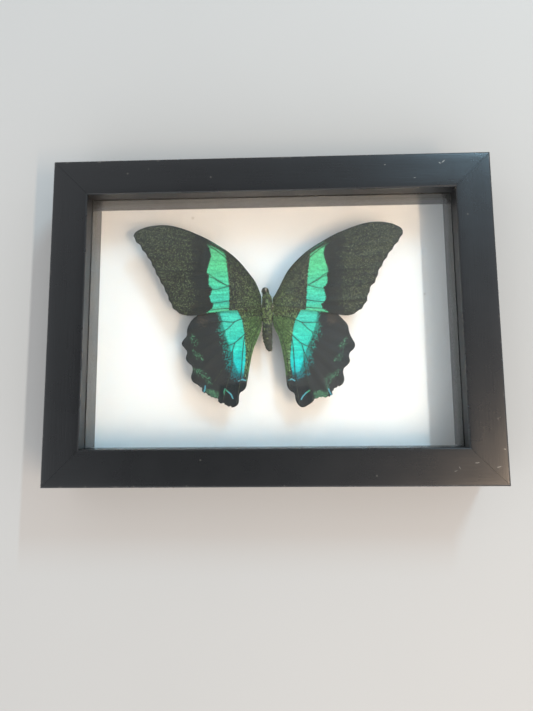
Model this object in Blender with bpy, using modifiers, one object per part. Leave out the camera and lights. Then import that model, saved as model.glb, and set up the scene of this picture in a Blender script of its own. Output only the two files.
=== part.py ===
"""A butterfly specimen in a black shadow-box frame, for Blender 4.5.

The frame lies on its back. +X runs to the right along the long rails, +Y towards the top rail and
+Z out through the glass. The origin is the middle of the frame's back, on the surface it lies on.
Lengths are in metres. Places on the specimen are given in millimetres from the middle of the frame.
"""

import math

import bmesh
import bpy
from mathutils import Matrix, Vector

MM = 0.001

# Moulding: a flat black section with a rebate behind its front lip.
SIGHT_WIDTH = 167.6 * MM
SIGHT_HEIGHT = 115.9 * MM
FACE_WIDTH = 16.2 * MM
FRAME_DEPTH = 30.0 * MM
LIP_THICKNESS = 6.3 * MM
REBATE_WIDTH = 5.0 * MM
ARRIS_RADIUS = 0.6 * MM
MITRE_GAP = 0.05 * MM

OUTER_WIDTH = SIGHT_WIDTH + 2 * FACE_WIDTH
OUTER_HEIGHT = SIGHT_HEIGHT + 2 * FACE_WIDTH
REBATE_OPENING = (SIGHT_WIDTH + 2 * REBATE_WIDTH, SIGHT_HEIGHT + 2 * REBATE_WIDTH)

# What is stacked in the rebate, from the lip to the back.
FIT = 0.2 * MM
GLASS_THICKNESS = 1.8 * MM
CARD_DEPTH = 20.4 * MM
CARD_THICKNESS = 1.5 * MM
BOARD_THICKNESS = 3.0 * MM

GLASS_TOP = FRAME_DEPTH - LIP_THICKNESS - FIT
GLASS_BOTTOM = GLASS_TOP - GLASS_THICKNESS
SPACER_TOP = GLASS_BOTTOM - FIT
CARD_TOP = FRAME_DEPTH - CARD_DEPTH
SPACER_BOTTOM = CARD_TOP + FIT
BOARD_TOP = CARD_TOP - CARD_THICKNESS - FIT
BOARD_BACK = BOARD_TOP - BOARD_THICKNESS

# Bendable points that hold the back board in.
TAB_WIDTH = 6.0 * MM
TAB_THICKNESS = 0.4 * MM
TAB_REACH = 8.5 * MM
TAB_BITE = 3.6 * MM
TAB_DROP = 1.0 * MM
SLOT_DEPTH = 4.0 * MM
SLOT_CLEARANCE = 0.25 * MM
LONG_RAIL_TABS = (-46 * MM, 46 * MM)
SHORT_RAIL_TABS = (0.0,)

# Sawtooth hanger, screwed to the back board.
HANGER_LENGTH = 44.0 * MM
HANGER_WIDTH = 9.0 * MM
HANGER_THICKNESS = 0.8 * MM
HANGER_BOW = 1.4 * MM
HANGER_TEETH = 9
TOOTH_PITCH = 2.4 * MM
TOOTH_HEIGHT = 1.6 * MM
HANGER_Y = 44.0 * MM
SCREW_SPACING = 36.0 * MM
SCREW_SHANK = 1.1 * MM
SCREW_HEAD = 2.3 * MM
SCREW_HEAD_HEIGHT = 1.0 * MM
SCREW_LENGTH = 2.2 * MM

# Specimen. The hindwings lie just under the forewings.
WING_THICKNESS = 0.4 * MM
FOREWING_Z = 19.1 * MM
HINDWING_Z = FOREWING_Z - WING_THICKNESS - 0.3 * MM
BODY_Z = 18.7 * MM
BLOCK_SIZE = (2.6 * MM, 7.0 * MM)
BLOCK_TOP = 16.1 * MM
BLOCK_CENTRE = (-1.8 * MM, 4.5 * MM)

# The body's middle line from head to tail: x, y, rise above BODY_Z and radius.
BODY_LINE = (
    (-2.75, 15.45, 0.2, 0.45),
    (-2.75, 14.95, 0.2, 1.15),
    (-2.70, 13.90, 0.2, 1.50),
    (-2.45, 12.70, 0.1, 1.30),
    (-2.10, 11.00, 0.0, 1.75),
    (-1.85, 8.00, 0.0, 2.10),
    (-1.80, 4.50, 0.0, 2.20),
    (-1.80, 1.20, 0.0, 1.95),
    (-1.85, -1.20, -0.1, 1.70),
    (-1.95, -4.00, -0.2, 1.95),
    (-1.90, -7.00, -0.3, 1.95),
    (-1.60, -10.20, -0.4, 1.55),
    (-1.10, -12.90, -0.5, 0.95),
    (-0.75, -14.40, -0.5, 0.40),
)

# Wing outlines, from the root along the front edge to the tip and back along the rear edge.
# The two sides differ because the rear edges of the hindwings are worn and their tails are gone.
FOREWING_LEFT = (
    (-4.5, 10.6), (-4.7, 11.5), (-7.2, 18.0), (-10, 22), (-15, 28.3), (-20, 32.8), (-25, 36.2),
    (-30, 39.3), (-35, 41.7), (-40, 43.7), (-45, 45.2), (-50, 46), (-55, 45.7), (-60, 44.5),
    (-63, 43), (-64.5, 41), (-64, 38.8), (-62, 36.5), (-60, 33.5), (-57.5, 30), (-55.3, 26), (-53, 21),
    (-50, 15.5), (-48.5, 12), (-47, 8.5), (-45, 5.2), (-41.5, 3.1), (-34, 2.6), (-27, 3.7),
    (-19.5, 4.7), (-12, 4.4), (-5.2, 3.1), (-4.6, 3.5), (-4.5, 7.0),
)
FOREWING_RIGHT = (
    (0.8, 10.2), (1.2, 10.8), (2.6, 13), (5, 17.8), (8, 23.3), (13, 29), (18, 33.2), (25, 37.5),
    (30, 40.2), (35, 42.3), (40, 44.1), (45, 45.3), (50, 45.6), (55, 44.8), (59, 43.3), (61, 41.7),
    (61.5, 39.8), (60, 36.8), (57.5, 33.5), (55, 30.2), (52.5, 26.2), (50, 21.8), (48.5, 17.4),
    (46.5, 15), (45, 11), (43.6, 7), (40, 3.3), (35.5, 1.7), (31, 2.1), (24, 3.3), (16, 4.5),
    (8, 4.2), (1.6, 3.1), (0.9, 3.5), (0.85, 7.0),
)
HINDWING_LEFT = (
    (-4.5, 3.0), (-5.0, 4.0), (-9, 6.8), (-16, 8.6), (-24, 8.0), (-30, 5.6), (-34, 2.9),
    (-36.4, 1.1), (-38.3, -1.6), (-39.1, -4), (-39.3, -6.8), (-40.9, -8.8), (-41.5, -10.6),
    (-40.2, -12.5), (-39, -14.2), (-39.5, -17.4), (-38.3, -19.4), (-36.6, -21), (-36.4, -23.5), (-37, -26),
    (-36, -28.3), (-33.6, -29.8), (-32.2, -31.6), (-31.6, -33.4), (-30, -33.6), (-28.4, -35.2),
    (-25.4, -36), (-24.4, -37.7), (-22, -38.6), (-19, -39.9), (-16.9, -39.7), (-15.3, -38.2),
    (-15, -35.4), (-14.5, -33.4), (-12.9, -32.3), (-11.8, -30.8), (-11.2, -28), (-10.1, -21.5),
    (-9, -16), (-7.9, -12.2), (-6.1, -7.8), (-4.9, -4.6), (-4.3, -2.0), (-4.5, 1.0),
)
HINDWING_RIGHT = (
    (0.9, 2.8), (1.4, 3.8), (5, 6.4), (12, 8.3), (20, 7.8), (26.5, 5.6), (31, 2.2),
    (33.2, -0.2), (35.2, -2.8), (35.8, -6.4), (37.1, -9.2), (38.2, -12), (37.4, -14), (35.9, -15.3),
    (35.3, -17.2), (35.6, -19.4), (34.5, -21.2), (32.9, -22.6), (32.4, -24.4), (32.8, -27.8),
    (31.8, -30.1), (28.7, -31.8), (27.6, -33.6), (27, -35.2), (25.2, -35.9), (20.3, -36.3),
    (19, -37.4), (17.2, -38.6), (13.5, -40.2), (11.7, -38.9), (10.6, -36.6), (10.1, -33.9),
    (8.4, -32.7), (7.1, -31), (6.6, -28.4), (6.3, -24.6), (5.8, -20), (5, -15), (4, -10.4),
    (2.7, -6.2), (1.2, -3.2), (0.7, -0.6),
)


# --- shared helpers ---------------------------------------------------------------------------


def clear_scene():
    for old in list(bpy.data.objects):
        bpy.data.objects.remove(old, do_unlink=True)


def new_collection(name):
    collection = bpy.data.collections.new(name)
    bpy.context.scene.collection.children.link(collection)
    return collection


def material(name, colour, roughness, metallic=0.0, transmission=0.0):
    made = bpy.data.materials.new(name)
    made.use_nodes = True
    surface = made.node_tree.nodes["Principled BSDF"]
    surface.inputs["Base Color"].default_value = (*colour, 1.0)
    surface.inputs["Roughness"].default_value = roughness
    surface.inputs["Metallic"].default_value = metallic
    surface.inputs["Transmission Weight"].default_value = transmission
    return made


def named_object(name, mesh, surface, collection):
    mesh.name = name
    made = bpy.data.objects.new(name, mesh)
    made.data.materials.clear()
    made.data.materials.append(surface)
    collection.objects.link(made)
    return made


def mesh_of_curve(curve):
    """The closed mesh that a curve makes. The curve is removed."""
    holder = bpy.data.objects.new(curve.name, curve)
    bpy.context.scene.collection.objects.link(holder)
    evaluated = holder.evaluated_get(bpy.context.evaluated_depsgraph_get())
    mesh = bpy.data.meshes.new_from_object(evaluated)
    bm = bmesh.new()
    bm.from_mesh(mesh)
    bmesh.ops.remove_doubles(bm, verts=bm.verts, dist=0.000001)
    bmesh.ops.recalc_face_normals(bm, faces=bm.faces)
    bm.to_mesh(mesh)
    bm.free()
    bpy.data.objects.remove(holder, do_unlink=True)
    return mesh


def flat_solid(name, outlines, thickness, rounded=False):
    """A plate of this thickness about Z = 0. Outlines after the first are holes. A rounded one
    runs smoothly through its points."""
    curve = bpy.data.curves.new(name, "CURVE")
    curve.dimensions = "2D"
    curve.fill_mode = "BOTH"
    curve.extrude = thickness / 2
    curve.resolution_u = 3
    for outline in outlines:
        if rounded:
            spline = curve.splines.new("BEZIER")
            spline.bezier_points.add(len(outline) - 1)
            for point, (x, y) in zip(spline.bezier_points, outline):
                point.co = (x, y, 0)
                point.handle_left_type = "AUTO"
                point.handle_right_type = "AUTO"
        else:
            spline = curve.splines.new("POLY")
            spline.points.add(len(outline) - 1)
            for point, (x, y) in zip(spline.points, outline):
                point.co = (x, y, 0, 1)
        spline.use_cyclic_u = True
    return mesh_of_curve(curve)


def filleted(corners, steps=3):
    """An outline whose corners (x, y, radius) are rounded to their radius."""
    points = []
    for index, (x, y, radius) in enumerate(corners):
        here = Vector((x, y))
        if radius == 0:
            points.append(tuple(here))
            continue
        back = (Vector(corners[index - 1][:2]) - here).normalized()
        on = (Vector(corners[(index + 1) % len(corners)][:2]) - here).normalized()
        half = back.angle(on) / 2
        centre = here + (back + on).normalized() * radius / math.sin(half)
        start = here + back * radius / math.tan(half) - centre
        end = here + on * radius / math.tan(half) - centre
        first = math.atan2(start.y, start.x)
        sweep = math.remainder(math.atan2(end.y, end.x) - first, 2 * math.pi)
        for step in range(steps + 1):
            angle = first + sweep * step / steps
            points.append((centre.x + radius * math.cos(angle), centre.y + radius * math.sin(angle)))
    return points


def circle(x, y, radius, steps=16):
    angles = [2 * math.pi * step / steps for step in range(steps)]
    return [(x + radius * math.cos(a), y + radius * math.sin(a)) for a in angles]


def block(name, low, high, surface, collection, arris=0.0):
    """A box between two corners, its edges rounded if an arris is given."""
    mesh = bpy.data.meshes.new(name)
    bm = bmesh.new()
    bmesh.ops.create_cube(bm, size=1.0)
    size = Vector(high) - Vector(low)
    bmesh.ops.scale(bm, vec=size, verts=bm.verts)
    bm.to_mesh(mesh)
    bm.free()
    made = named_object(name, mesh, surface, collection)
    made.location = (Vector(low) + Vector(high)) / 2
    if arris:
        bevel = made.modifiers.new("arrises", "BEVEL")
        bevel.width = arris
        bevel.segments = 2
    return made


def cut(target, cutter):
    cutter.hide_render = True
    cutter.display_type = "WIRE"
    boolean = target.modifiers.new(cutter.name, "BOOLEAN")
    boolean.operation = "DIFFERENCE"
    boolean.solver = "EXACT"
    boolean.object = cutter


def side_matrix(turns, reach):
    """The place of a rail's own axes: X along the rail, Y inwards from its outer face. The bottom
    rail has no turns, and the others follow anticlockwise."""
    return Matrix.Rotation(turns * math.pi / 2, 4, "Z") @ Matrix.Translation((0, -reach, 0))


# The four sides: name, quarter turns, outer length, distance of the outer face from the middle and
# where the tabs sit along the rail.
SIDES = (
    ("bottom", 0, OUTER_WIDTH, OUTER_HEIGHT / 2, LONG_RAIL_TABS),
    ("right", 1, OUTER_HEIGHT, OUTER_WIDTH / 2, SHORT_RAIL_TABS),
    ("top", 2, OUTER_WIDTH, OUTER_HEIGHT / 2, LONG_RAIL_TABS),
    ("left", 3, OUTER_HEIGHT, OUTER_WIDTH / 2, SHORT_RAIL_TABS),
)


# --- frame ------------------------------------------------------------------------------------


def rail_mesh(name, length):
    """One length of moulding with both ends mitred. Its section is drawn as inward distance and
    height, then stretched along X."""
    wall = FACE_WIDTH - REBATE_WIDTH
    section = filleted((
        (0, 0, ARRIS_RADIUS),
        (wall, 0, 0),
        (wall, FRAME_DEPTH - LIP_THICKNESS, 0),
        (FACE_WIDTH, FRAME_DEPTH - LIP_THICKNESS, 0),
        (FACE_WIDTH, FRAME_DEPTH, ARRIS_RADIUS),
        (0, FRAME_DEPTH, ARRIS_RADIUS),
    ))
    mesh = flat_solid(name, [section], length)
    bm = bmesh.new()
    bm.from_mesh(mesh)
    section_to_rail = Matrix(((0, 0, 1, 0), (1, 0, 0, 0), (0, 1, 0, 0), (0, 0, 0, 1)))
    bmesh.ops.transform(bm, matrix=section_to_rail, verts=bm.verts)
    for end in (-1, 1):
        trimmed = bmesh.ops.bisect_plane(
            bm,
            geom=bm.verts[:] + bm.edges[:] + bm.faces[:],
            plane_co=(end * (length / 2 - MITRE_GAP), 0, 0),
            plane_no=(end, 1, 0),
            clear_outer=True,
        )
        open_edges = [e for e in trimmed["geom_cut"] if isinstance(e, bmesh.types.BMEdge)]
        bmesh.ops.edgeloop_fill(bm, edges=open_edges)
    bmesh.ops.recalc_face_normals(bm, faces=bm.faces)
    bm.to_mesh(mesh)
    bm.free()
    return mesh


def tab_mesh(name):
    """A steel point: flat in its slot, bent up onto the back board. Drawn from the side, with X
    inwards and Y the height above the slot's floor, then stretched along the rail."""
    wall = FACE_WIDTH - REBATE_WIDTH
    bend = wall + 1.0 * MM
    tip = wall + TAB_REACH
    side = [
        (wall - TAB_BITE, 0),
        (bend, 0),
        (bend + 2.5 * MM, TAB_DROP),
        (tip, TAB_DROP),
        (tip, TAB_DROP + TAB_THICKNESS),
        (bend + 2.3 * MM, TAB_DROP + TAB_THICKNESS),
        (bend - 0.2 * MM, TAB_THICKNESS),
        (wall - TAB_BITE, TAB_THICKNESS),
    ]
    mesh = flat_solid(name, [side], TAB_WIDTH)
    mesh.transform(Matrix(((0, 0, 1, 0), (1, 0, 0, 0), (0, 1, 0, 0), (0, 0, 0, 1))))
    return mesh


def build_frame(parts, cutters, black, steel):
    slot_floor = BOARD_BACK - FIT - TAB_THICKNESS - TAB_DROP
    wall = FACE_WIDTH - REBATE_WIDTH
    for side, turns, length, reach, tab_places in SIDES:
        place = side_matrix(turns, reach)
        rail = named_object("rail_" + side, rail_mesh("rail_" + side, length), black, parts)
        rail.matrix_world = place
        for number, along in enumerate(tab_places, start=1):
            name = f"tab_{side}_{number}"
            tab = named_object(name, tab_mesh(name), steel, parts)
            tab.matrix_world = place @ Matrix.Translation((along, 0, slot_floor))
            slot_half = TAB_WIDTH / 2 + SLOT_CLEARANCE
            slot = block(
                f"slot_{side}_{number}",
                (along - slot_half, wall - SLOT_DEPTH, slot_floor - SLOT_CLEARANCE),
                (along + slot_half, wall + 1 * MM, slot_floor + TAB_THICKNESS + SLOT_CLEARANCE),
                steel,
                cutters,
            )
            slot.matrix_world = place @ Matrix.Translation(slot.location)
            cut(rail, slot)


def build_filling(parts, cutters, clear, black, white, brown):
    """Glass, spacers, card and back board, each a little smaller than the rebate."""
    half_w = REBATE_OPENING[0] / 2 - FIT
    half_h = REBATE_OPENING[1] / 2 - FIT
    in_w = SIGHT_WIDTH / 2
    in_h = SIGHT_HEIGHT / 2
    block("glass", (-half_w, -half_h, GLASS_BOTTOM), (half_w, half_h, GLASS_TOP), clear, parts)
    spacers = {
        "spacer_bottom": ((-half_w, -half_h), (half_w, -in_h)),
        "spacer_top": ((-half_w, in_h), (half_w, half_h)),
        "spacer_left": ((-half_w, -in_h + FIT), (-in_w, in_h - FIT)),
        "spacer_right": ((in_w, -in_h + FIT), (half_w, in_h - FIT)),
    }
    for name, (low, high) in spacers.items():
        block(name, (*low, SPACER_BOTTOM), (*high, SPACER_TOP), black, parts)
    card_low = (-half_w, -half_h, CARD_TOP - CARD_THICKNESS)
    block("backing_card", card_low, (half_w, half_h, CARD_TOP), white, parts)
    board = block(
        "back_board",
        (-half_w, -half_h, BOARD_BACK),
        (half_w, half_h, BOARD_TOP),
        brown,
        parts,
        arris=0.2 * MM,
    )
    for side, x in (("left", -SCREW_SPACING / 2), ("right", SCREW_SPACING / 2)):
        mesh = bpy.data.meshes.new("hole_" + side)
        bm = bmesh.new()
        depth = SCREW_LENGTH + 1.0 * MM
        radius = SCREW_SHANK + FIT
        bmesh.ops.create_cone(
            bm, cap_ends=True, segments=20, radius1=radius, radius2=radius, depth=depth
        )
        bm.to_mesh(mesh)
        bm.free()
        hole = named_object("hole_" + side, mesh, brown, cutters)
        hole.location = (x, HANGER_Y, BOARD_BACK + SCREW_LENGTH + FIT - depth / 2)
        cut(board, hole)


def build_hanger(parts, steel):
    """A sawtooth strip whose middle bows away from the board, so that a nail's head fits behind."""
    half = HANGER_LENGTH / 2
    edge = HANGER_WIDTH / 2
    toothed = HANGER_TEETH * TOOTH_PITCH / 2
    outline = [(-half, edge), (-half, -edge), (-toothed, -edge)]
    for tooth in range(HANGER_TEETH):
        left = -toothed + tooth * TOOTH_PITCH
        outline.append((left + TOOTH_PITCH / 2, -edge + TOOTH_HEIGHT))
        outline.append((left + TOOTH_PITCH, -edge))
    outline += [(half, -edge), (half, edge), (toothed, edge), (-toothed, edge)]
    screw_x = SCREW_SPACING / 2
    holes = [circle(x, 0, SCREW_SHANK + FIT) for x in (-screw_x, screw_x)]
    mesh = flat_solid("hanger_plate", [outline, *holes], HANGER_THICKNESS)
    bm = bmesh.new()
    bm.from_mesh(mesh)
    for step in range(1, 2 * HANGER_TEETH):
        everything = bm.verts[:] + bm.edges[:] + bm.faces[:]
        line = (-toothed + step * TOOTH_PITCH / 2, 0, 0)
        bmesh.ops.bisect_plane(bm, geom=everything, plane_co=line, plane_no=(1, 0, 0), dist=1e-7)
    for vertex in bm.verts:
        share = max(0.0, 1 - abs(vertex.co.x) / toothed)
        vertex.co.z -= HANGER_BOW * math.sin(share * math.pi / 2)
    bm.to_mesh(mesh)
    bm.free()
    plate = named_object("hanger_plate", mesh, steel, parts)
    plate_z = BOARD_BACK - FIT - HANGER_THICKNESS / 2
    plate.location = (0, HANGER_Y, plate_z)
    head_top = plate_z - HANGER_THICKNESS / 2 - FIT
    for side, x in (("left", -screw_x), ("right", screw_x)):
        profile = bpy.data.meshes.new("hanger_screw_" + side)
        tip = BOARD_BACK + SCREW_LENGTH - head_top
        points = [
            (0, tip),
            (SCREW_SHANK * 0.5, tip),
            (SCREW_SHANK, tip - 0.5 * MM),
            (SCREW_SHANK, 0),
            (SCREW_HEAD, 0),
            (SCREW_HEAD, -SCREW_HEAD_HEIGHT * 0.4),
            (SCREW_HEAD * 0.75, -SCREW_HEAD_HEIGHT * 0.85),
            (0, -SCREW_HEAD_HEIGHT),
        ]
        edges = [(i, i + 1) for i in range(len(points) - 1)]
        profile.from_pydata([(r, 0, z) for r, z in points], edges, [])
        screw = named_object("hanger_screw_" + side, profile, steel, parts)
        screw.location = (x, HANGER_Y, head_top)
        turn = screw.modifiers.new("turned", "SCREW")
        turn.steps = 20
        turn.render_steps = 20
        turn.use_merge_vertices = True
        turn.merge_threshold = 0.000001
        weld = screw.modifiers.new("closed", "WELD")
        weld.merge_threshold = 0.000001


# --- specimen ---------------------------------------------------------------------------------


def build_body(parts, dark):
    """Head, thorax and abdomen as one tube whose thickness follows the body's line."""
    curve = bpy.data.curves.new("body", "CURVE")
    curve.dimensions = "3D"
    curve.bevel_depth = MM
    curve.bevel_resolution = 4
    curve.resolution_u = 3
    curve.use_fill_caps = True
    spline = curve.splines.new("BEZIER")
    spline.bezier_points.add(len(BODY_LINE) - 1)
    for point, (x, y, rise, radius) in zip(spline.bezier_points, BODY_LINE):
        point.co = (x * MM, y * MM, BODY_Z + rise * MM)
        point.radius = radius
        point.handle_left_type = "AUTO"
        point.handle_right_type = "AUTO"
    mesh = mesh_of_curve(curve)
    mesh.shade_smooth()
    named_object("body", mesh, dark, parts)


def build_wing(name, outline, height, surface, parts):
    points = [(x * MM, y * MM) for x, y in outline]
    wing = named_object(
        name, flat_solid(name, [points], WING_THICKNESS, rounded=True), surface, parts
    )
    wing.location.z = height


def build_specimen(parts, dark, wing_green, foam):
    build_body(parts, dark)
    build_wing("forewing_left", FOREWING_LEFT, FOREWING_Z, wing_green, parts)
    build_wing("forewing_right", FOREWING_RIGHT, FOREWING_Z, wing_green, parts)
    build_wing("hindwing_left", HINDWING_LEFT, HINDWING_Z, wing_green, parts)
    build_wing("hindwing_right", HINDWING_RIGHT, HINDWING_Z, wing_green, parts)
    x, y = BLOCK_CENTRE
    half_x, half_y = BLOCK_SIZE[0] / 2, BLOCK_SIZE[1] / 2
    low = (x - half_x, y - half_y, CARD_TOP + FIT)
    block("mounting_block", low, (x + half_x, y + half_y, BLOCK_TOP), foam, parts)


def main():
    clear_scene()
    parts = new_collection("framed_butterfly_specimen")
    cutters = new_collection("cutters")
    black = material("satin_black", (0.035, 0.036, 0.036), 0.45)
    black_card = material("black_spacer", (0.04, 0.04, 0.04), 0.4)
    clear = material("glass", (0.95, 1.0, 0.98), 0.0, transmission=1.0)
    white = material("white_card", (0.86, 0.85, 0.82), 0.8)
    brown = material("hardboard", (0.33, 0.20, 0.11), 0.75)
    steel = material("zinc_steel", (0.62, 0.60, 0.55), 0.35, metallic=1.0)
    dark = material("body_scales", (0.05, 0.06, 0.04), 0.9)
    wing_green = material("wing_scales", (0.06, 0.09, 0.05), 0.7)
    foam = material("white_foam", (0.85, 0.85, 0.83), 0.9)
    build_frame(parts, cutters, black, steel)
    build_filling(parts, cutters, clear, black_card, white, brown)
    build_hanger(parts, steel)
    build_specimen(parts, dark, wing_green, foam)


main()
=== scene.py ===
# %% [markdown]
# # A butterfly in a shadow-box frame
# The object is a shallow black frame with a pane of glass, and behind it a large green swallowtail
# with its wings spread, held above a white card. The construction comes in ready made: rails, glass,
# spacers, card and board at their real size. This lesson gives each of them its finish, and makes the
# insect's wings, veins, hair and body as fine meshes in the space that the construction keeps for them.
# Lengths are in metres, +X runs to the right, +Y to the top rail and +Z out through the glass.

# %% Open the frame
import math

import bmesh
import bpy
import numpy as np
from mathutils import Euler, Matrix, Vector, geometry, noise


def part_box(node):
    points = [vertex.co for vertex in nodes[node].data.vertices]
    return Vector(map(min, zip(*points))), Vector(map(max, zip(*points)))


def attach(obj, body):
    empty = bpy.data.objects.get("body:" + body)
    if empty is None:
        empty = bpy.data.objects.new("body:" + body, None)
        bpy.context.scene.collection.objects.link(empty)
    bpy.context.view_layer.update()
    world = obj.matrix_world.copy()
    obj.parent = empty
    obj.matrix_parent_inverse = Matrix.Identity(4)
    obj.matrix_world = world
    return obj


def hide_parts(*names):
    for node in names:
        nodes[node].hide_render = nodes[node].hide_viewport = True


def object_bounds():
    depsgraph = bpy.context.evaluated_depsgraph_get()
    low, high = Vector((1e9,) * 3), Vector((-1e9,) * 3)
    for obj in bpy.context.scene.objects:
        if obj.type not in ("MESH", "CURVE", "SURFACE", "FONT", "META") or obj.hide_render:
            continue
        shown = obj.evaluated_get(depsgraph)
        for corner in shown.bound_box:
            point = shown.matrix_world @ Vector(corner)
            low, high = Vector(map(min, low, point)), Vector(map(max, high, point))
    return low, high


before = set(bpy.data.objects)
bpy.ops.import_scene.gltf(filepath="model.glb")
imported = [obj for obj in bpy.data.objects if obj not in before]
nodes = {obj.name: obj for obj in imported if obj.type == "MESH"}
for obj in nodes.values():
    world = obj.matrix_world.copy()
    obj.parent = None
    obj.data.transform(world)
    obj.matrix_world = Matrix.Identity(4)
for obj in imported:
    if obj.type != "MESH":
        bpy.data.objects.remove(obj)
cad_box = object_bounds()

MM = 0.001
ROOT = "root"
low, high = cad_box
FRAME_TOP = high[2]


def into_scene(name, data):
    """An object at the origin that holds this data, linked into the scene."""
    made = bpy.data.objects.new(name, data)
    bpy.context.scene.collection.objects.link(made)
    return made


print("frame", [round(high[i] - low[i], 4) for i in range(3)], "with", len(nodes), "pieces")

# %% [markdown]
# ## Camera
# The frame is looked down on from about a quarter of a metre above its glass, from a little below its
# middle, with a wide lens. A wide lens close by is what makes the inner walls show on three sides. The
# place and the three angles are given as plain numbers, and there is no shift and no depth of field.

# %% Camera
CAMERA_PLACE = (5.11 * MM, -46.46 * MM, FRAME_TOP + 228.7 * MM)
CAMERA_TURN_DEGREES = (7.130, 1.846, -0.471)
LENS_MM = 26.7

camera_data = bpy.data.cameras.new("camera")
camera_data.lens = LENS_MM
camera_data.sensor_width = 36.0
camera_data.clip_start = 0.01
camera = into_scene("camera", camera_data)
camera.location = CAMERA_PLACE
camera.rotation_euler = Euler([math.radians(a) for a in CAMERA_TURN_DEGREES], "XYZ")
bpy.context.scene.camera = camera
print("camera", [round(c, 4) for c in camera.location])

# %% [markdown]
# ## Light
# Two strip lights hang in one line over the right side of the frame, a cool one towards its top and a
# warm one towards its bottom. Where one is blocked, the other still reaches the card, so the insect
# throws a beige shadow one way and a bluish one the other. A strip is narrow across and long along the
# frame's height, which gives shadows that are sharp across and soft along. The room is a pale grey that
# is brighter on the side of the bottom rail. It is darker overhead, as under a black flag, and darkest to
# the left, so that the glass and the left rail don't mirror it.

# %% Lamps and room
STRIP_HEIGHT = 0.98
STRIP_X = 0.634
STRIP_WIDTH = 0.045
STRIP_LENGTH = 0.62


def strip_light(name, middle_y, power, colour):
    """A strip that hangs level above the frame and runs along Y."""
    data = bpy.data.lights.new(name, "AREA")
    data.shape = "RECTANGLE"
    data.size = STRIP_WIDTH
    data.size_y = STRIP_LENGTH
    data.energy = power
    data.color = colour
    into_scene(name, data).location = (STRIP_X, middle_y, STRIP_HEIGHT)


strip_light("strip_cool", 1.06, 14.0, (0.46, 0.78, 1.0))
strip_light("strip_warm", -0.46, 6.75, (1.0, 0.73, 0.50))

FLAG_EDGE = (0.80, 0.97)
FLAG_SLOPE = (-0.32, 0.34)
ROOM_LIGHT = 1.19
FLAG_LIGHT = (0.14, 0.56)
WINDOW_EDGE = (-0.9, 0.9)
WINDOW_SLOPE = (1.30, 0.60)
ROOM_COLOUR = (0.94, 0.98, 1.04, 1)

world = bpy.data.worlds.new("room")
bpy.context.scene.world = world
world.use_nodes = True
room = world.node_tree


def room_ramp(value, start, end, first, last):
    """A smooth change of light with direction. First and last are numbers or outputs."""
    node = room.nodes.new("ShaderNodeMapRange")
    node.interpolation_type = "SMOOTHSTEP"
    room.links.new(value, node.inputs["Value"])
    for name, given in (("From Min", start), ("From Max", end), ("To Min", first), ("To Max", last)):
        if isinstance(given, bpy.types.NodeSocket):
            room.links.new(given, node.inputs[name])
        else:
            node.inputs[name].default_value = given
    return node.outputs["Result"]


coordinate = room.nodes.new("ShaderNodeTexCoord")
split = room.nodes.new("ShaderNodeSeparateXYZ")
room.links.new(coordinate.outputs["Generated"], split.inputs[0])
overhead = room_ramp(split.outputs["X"], *FLAG_SLOPE, *FLAG_LIGHT)
strength = room_ramp(split.outputs["Z"], *FLAG_EDGE, ROOM_LIGHT, overhead)
front_to_back = room_ramp(split.outputs["Y"], *WINDOW_EDGE, *WINDOW_SLOPE)
shaded = room.nodes.new("ShaderNodeMath")
shaded.operation = "MULTIPLY"
room.links.new(strength, shaded.inputs[0])
room.links.new(front_to_back, shaded.inputs[1])
background = room.nodes["Background"]
background.inputs["Color"].default_value = ROOM_COLOUR
room.links.new(shaded.outputs[0], background.inputs["Strength"])
bpy.context.scene.view_settings.view_transform = "Standard"

# %% [markdown]
# ## Building shaders
# Every finish is a small network of shader nodes. A helper places a node, fills its inputs and links
# them, so that each material below reads as a short list. Colours are easier to judge as screen values
# from 0 to 255, so a second helper turns those into the linear numbers that shaders use.

# %% Shader helpers
def linear(red, green, blue):
    """A screen colour from 0 to 255 as the linear colour that a shader takes."""
    parts = [c / 255 for c in (red, green, blue)]
    return (*[c / 12.92 if c <= 0.04045 else ((c + 0.055) / 1.055) ** 2.4 for c in parts], 1.0)


def add(tree, kind, inputs=(), **settings):
    """One node. Inputs is a dict of socket to a value or to the output that feeds it."""
    node = tree.nodes.new(kind)
    for name, value in settings.items():
        setattr(node, name, value)
    for socket, value in dict(inputs).items():
        if isinstance(value, bpy.types.NodeSocket):
            tree.links.new(value, node.inputs[socket])
        else:
            node.inputs[socket].default_value = value
    return node


def math_node(tree, operation, a, b=0.0):
    """One sum or comparison of two numbers or outputs."""
    return add(tree, "ShaderNodeMath", {0: a, 1: b}, operation=operation).outputs[0]


def blend_colour(tree, factor, a, b, mode="MIX"):
    """A mixed over by B where the factor is 1."""
    node = tree.nodes.new("ShaderNodeMix")
    node.data_type = "RGBA"
    node.blend_type = mode
    sockets = {"Factor": factor, "A": a, "B": b}
    for name, value in sockets.items():
        kind = "VALUE" if name == "Factor" else "RGBA"
        socket = next(s for s in node.inputs if s.name == name and s.type == kind)
        if isinstance(value, bpy.types.NodeSocket):
            tree.links.new(value, socket)
        else:
            socket.default_value = value
    return next(s for s in node.outputs if s.type == "RGBA")


def smooth_step(tree, value, start, end, first=0.0, last=1.0):
    """A value eased from first to last while it goes from start to end."""
    inputs = {"Value": value, "From Min": start, "From Max": end, "To Min": first, "To Max": last}
    node = add(tree, "ShaderNodeMapRange", inputs, interpolation_type="SMOOTHSTEP")
    return node.outputs["Result"]


def attribute(tree, name):
    """A number that is stored on the points of the mesh."""
    return add(tree, "ShaderNodeAttribute", attribute_name=name).outputs["Fac"]


def object_place(tree):
    """The place on the object, in metres."""
    return tree.nodes.new("ShaderNodeTexCoord").outputs["Object"]


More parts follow.
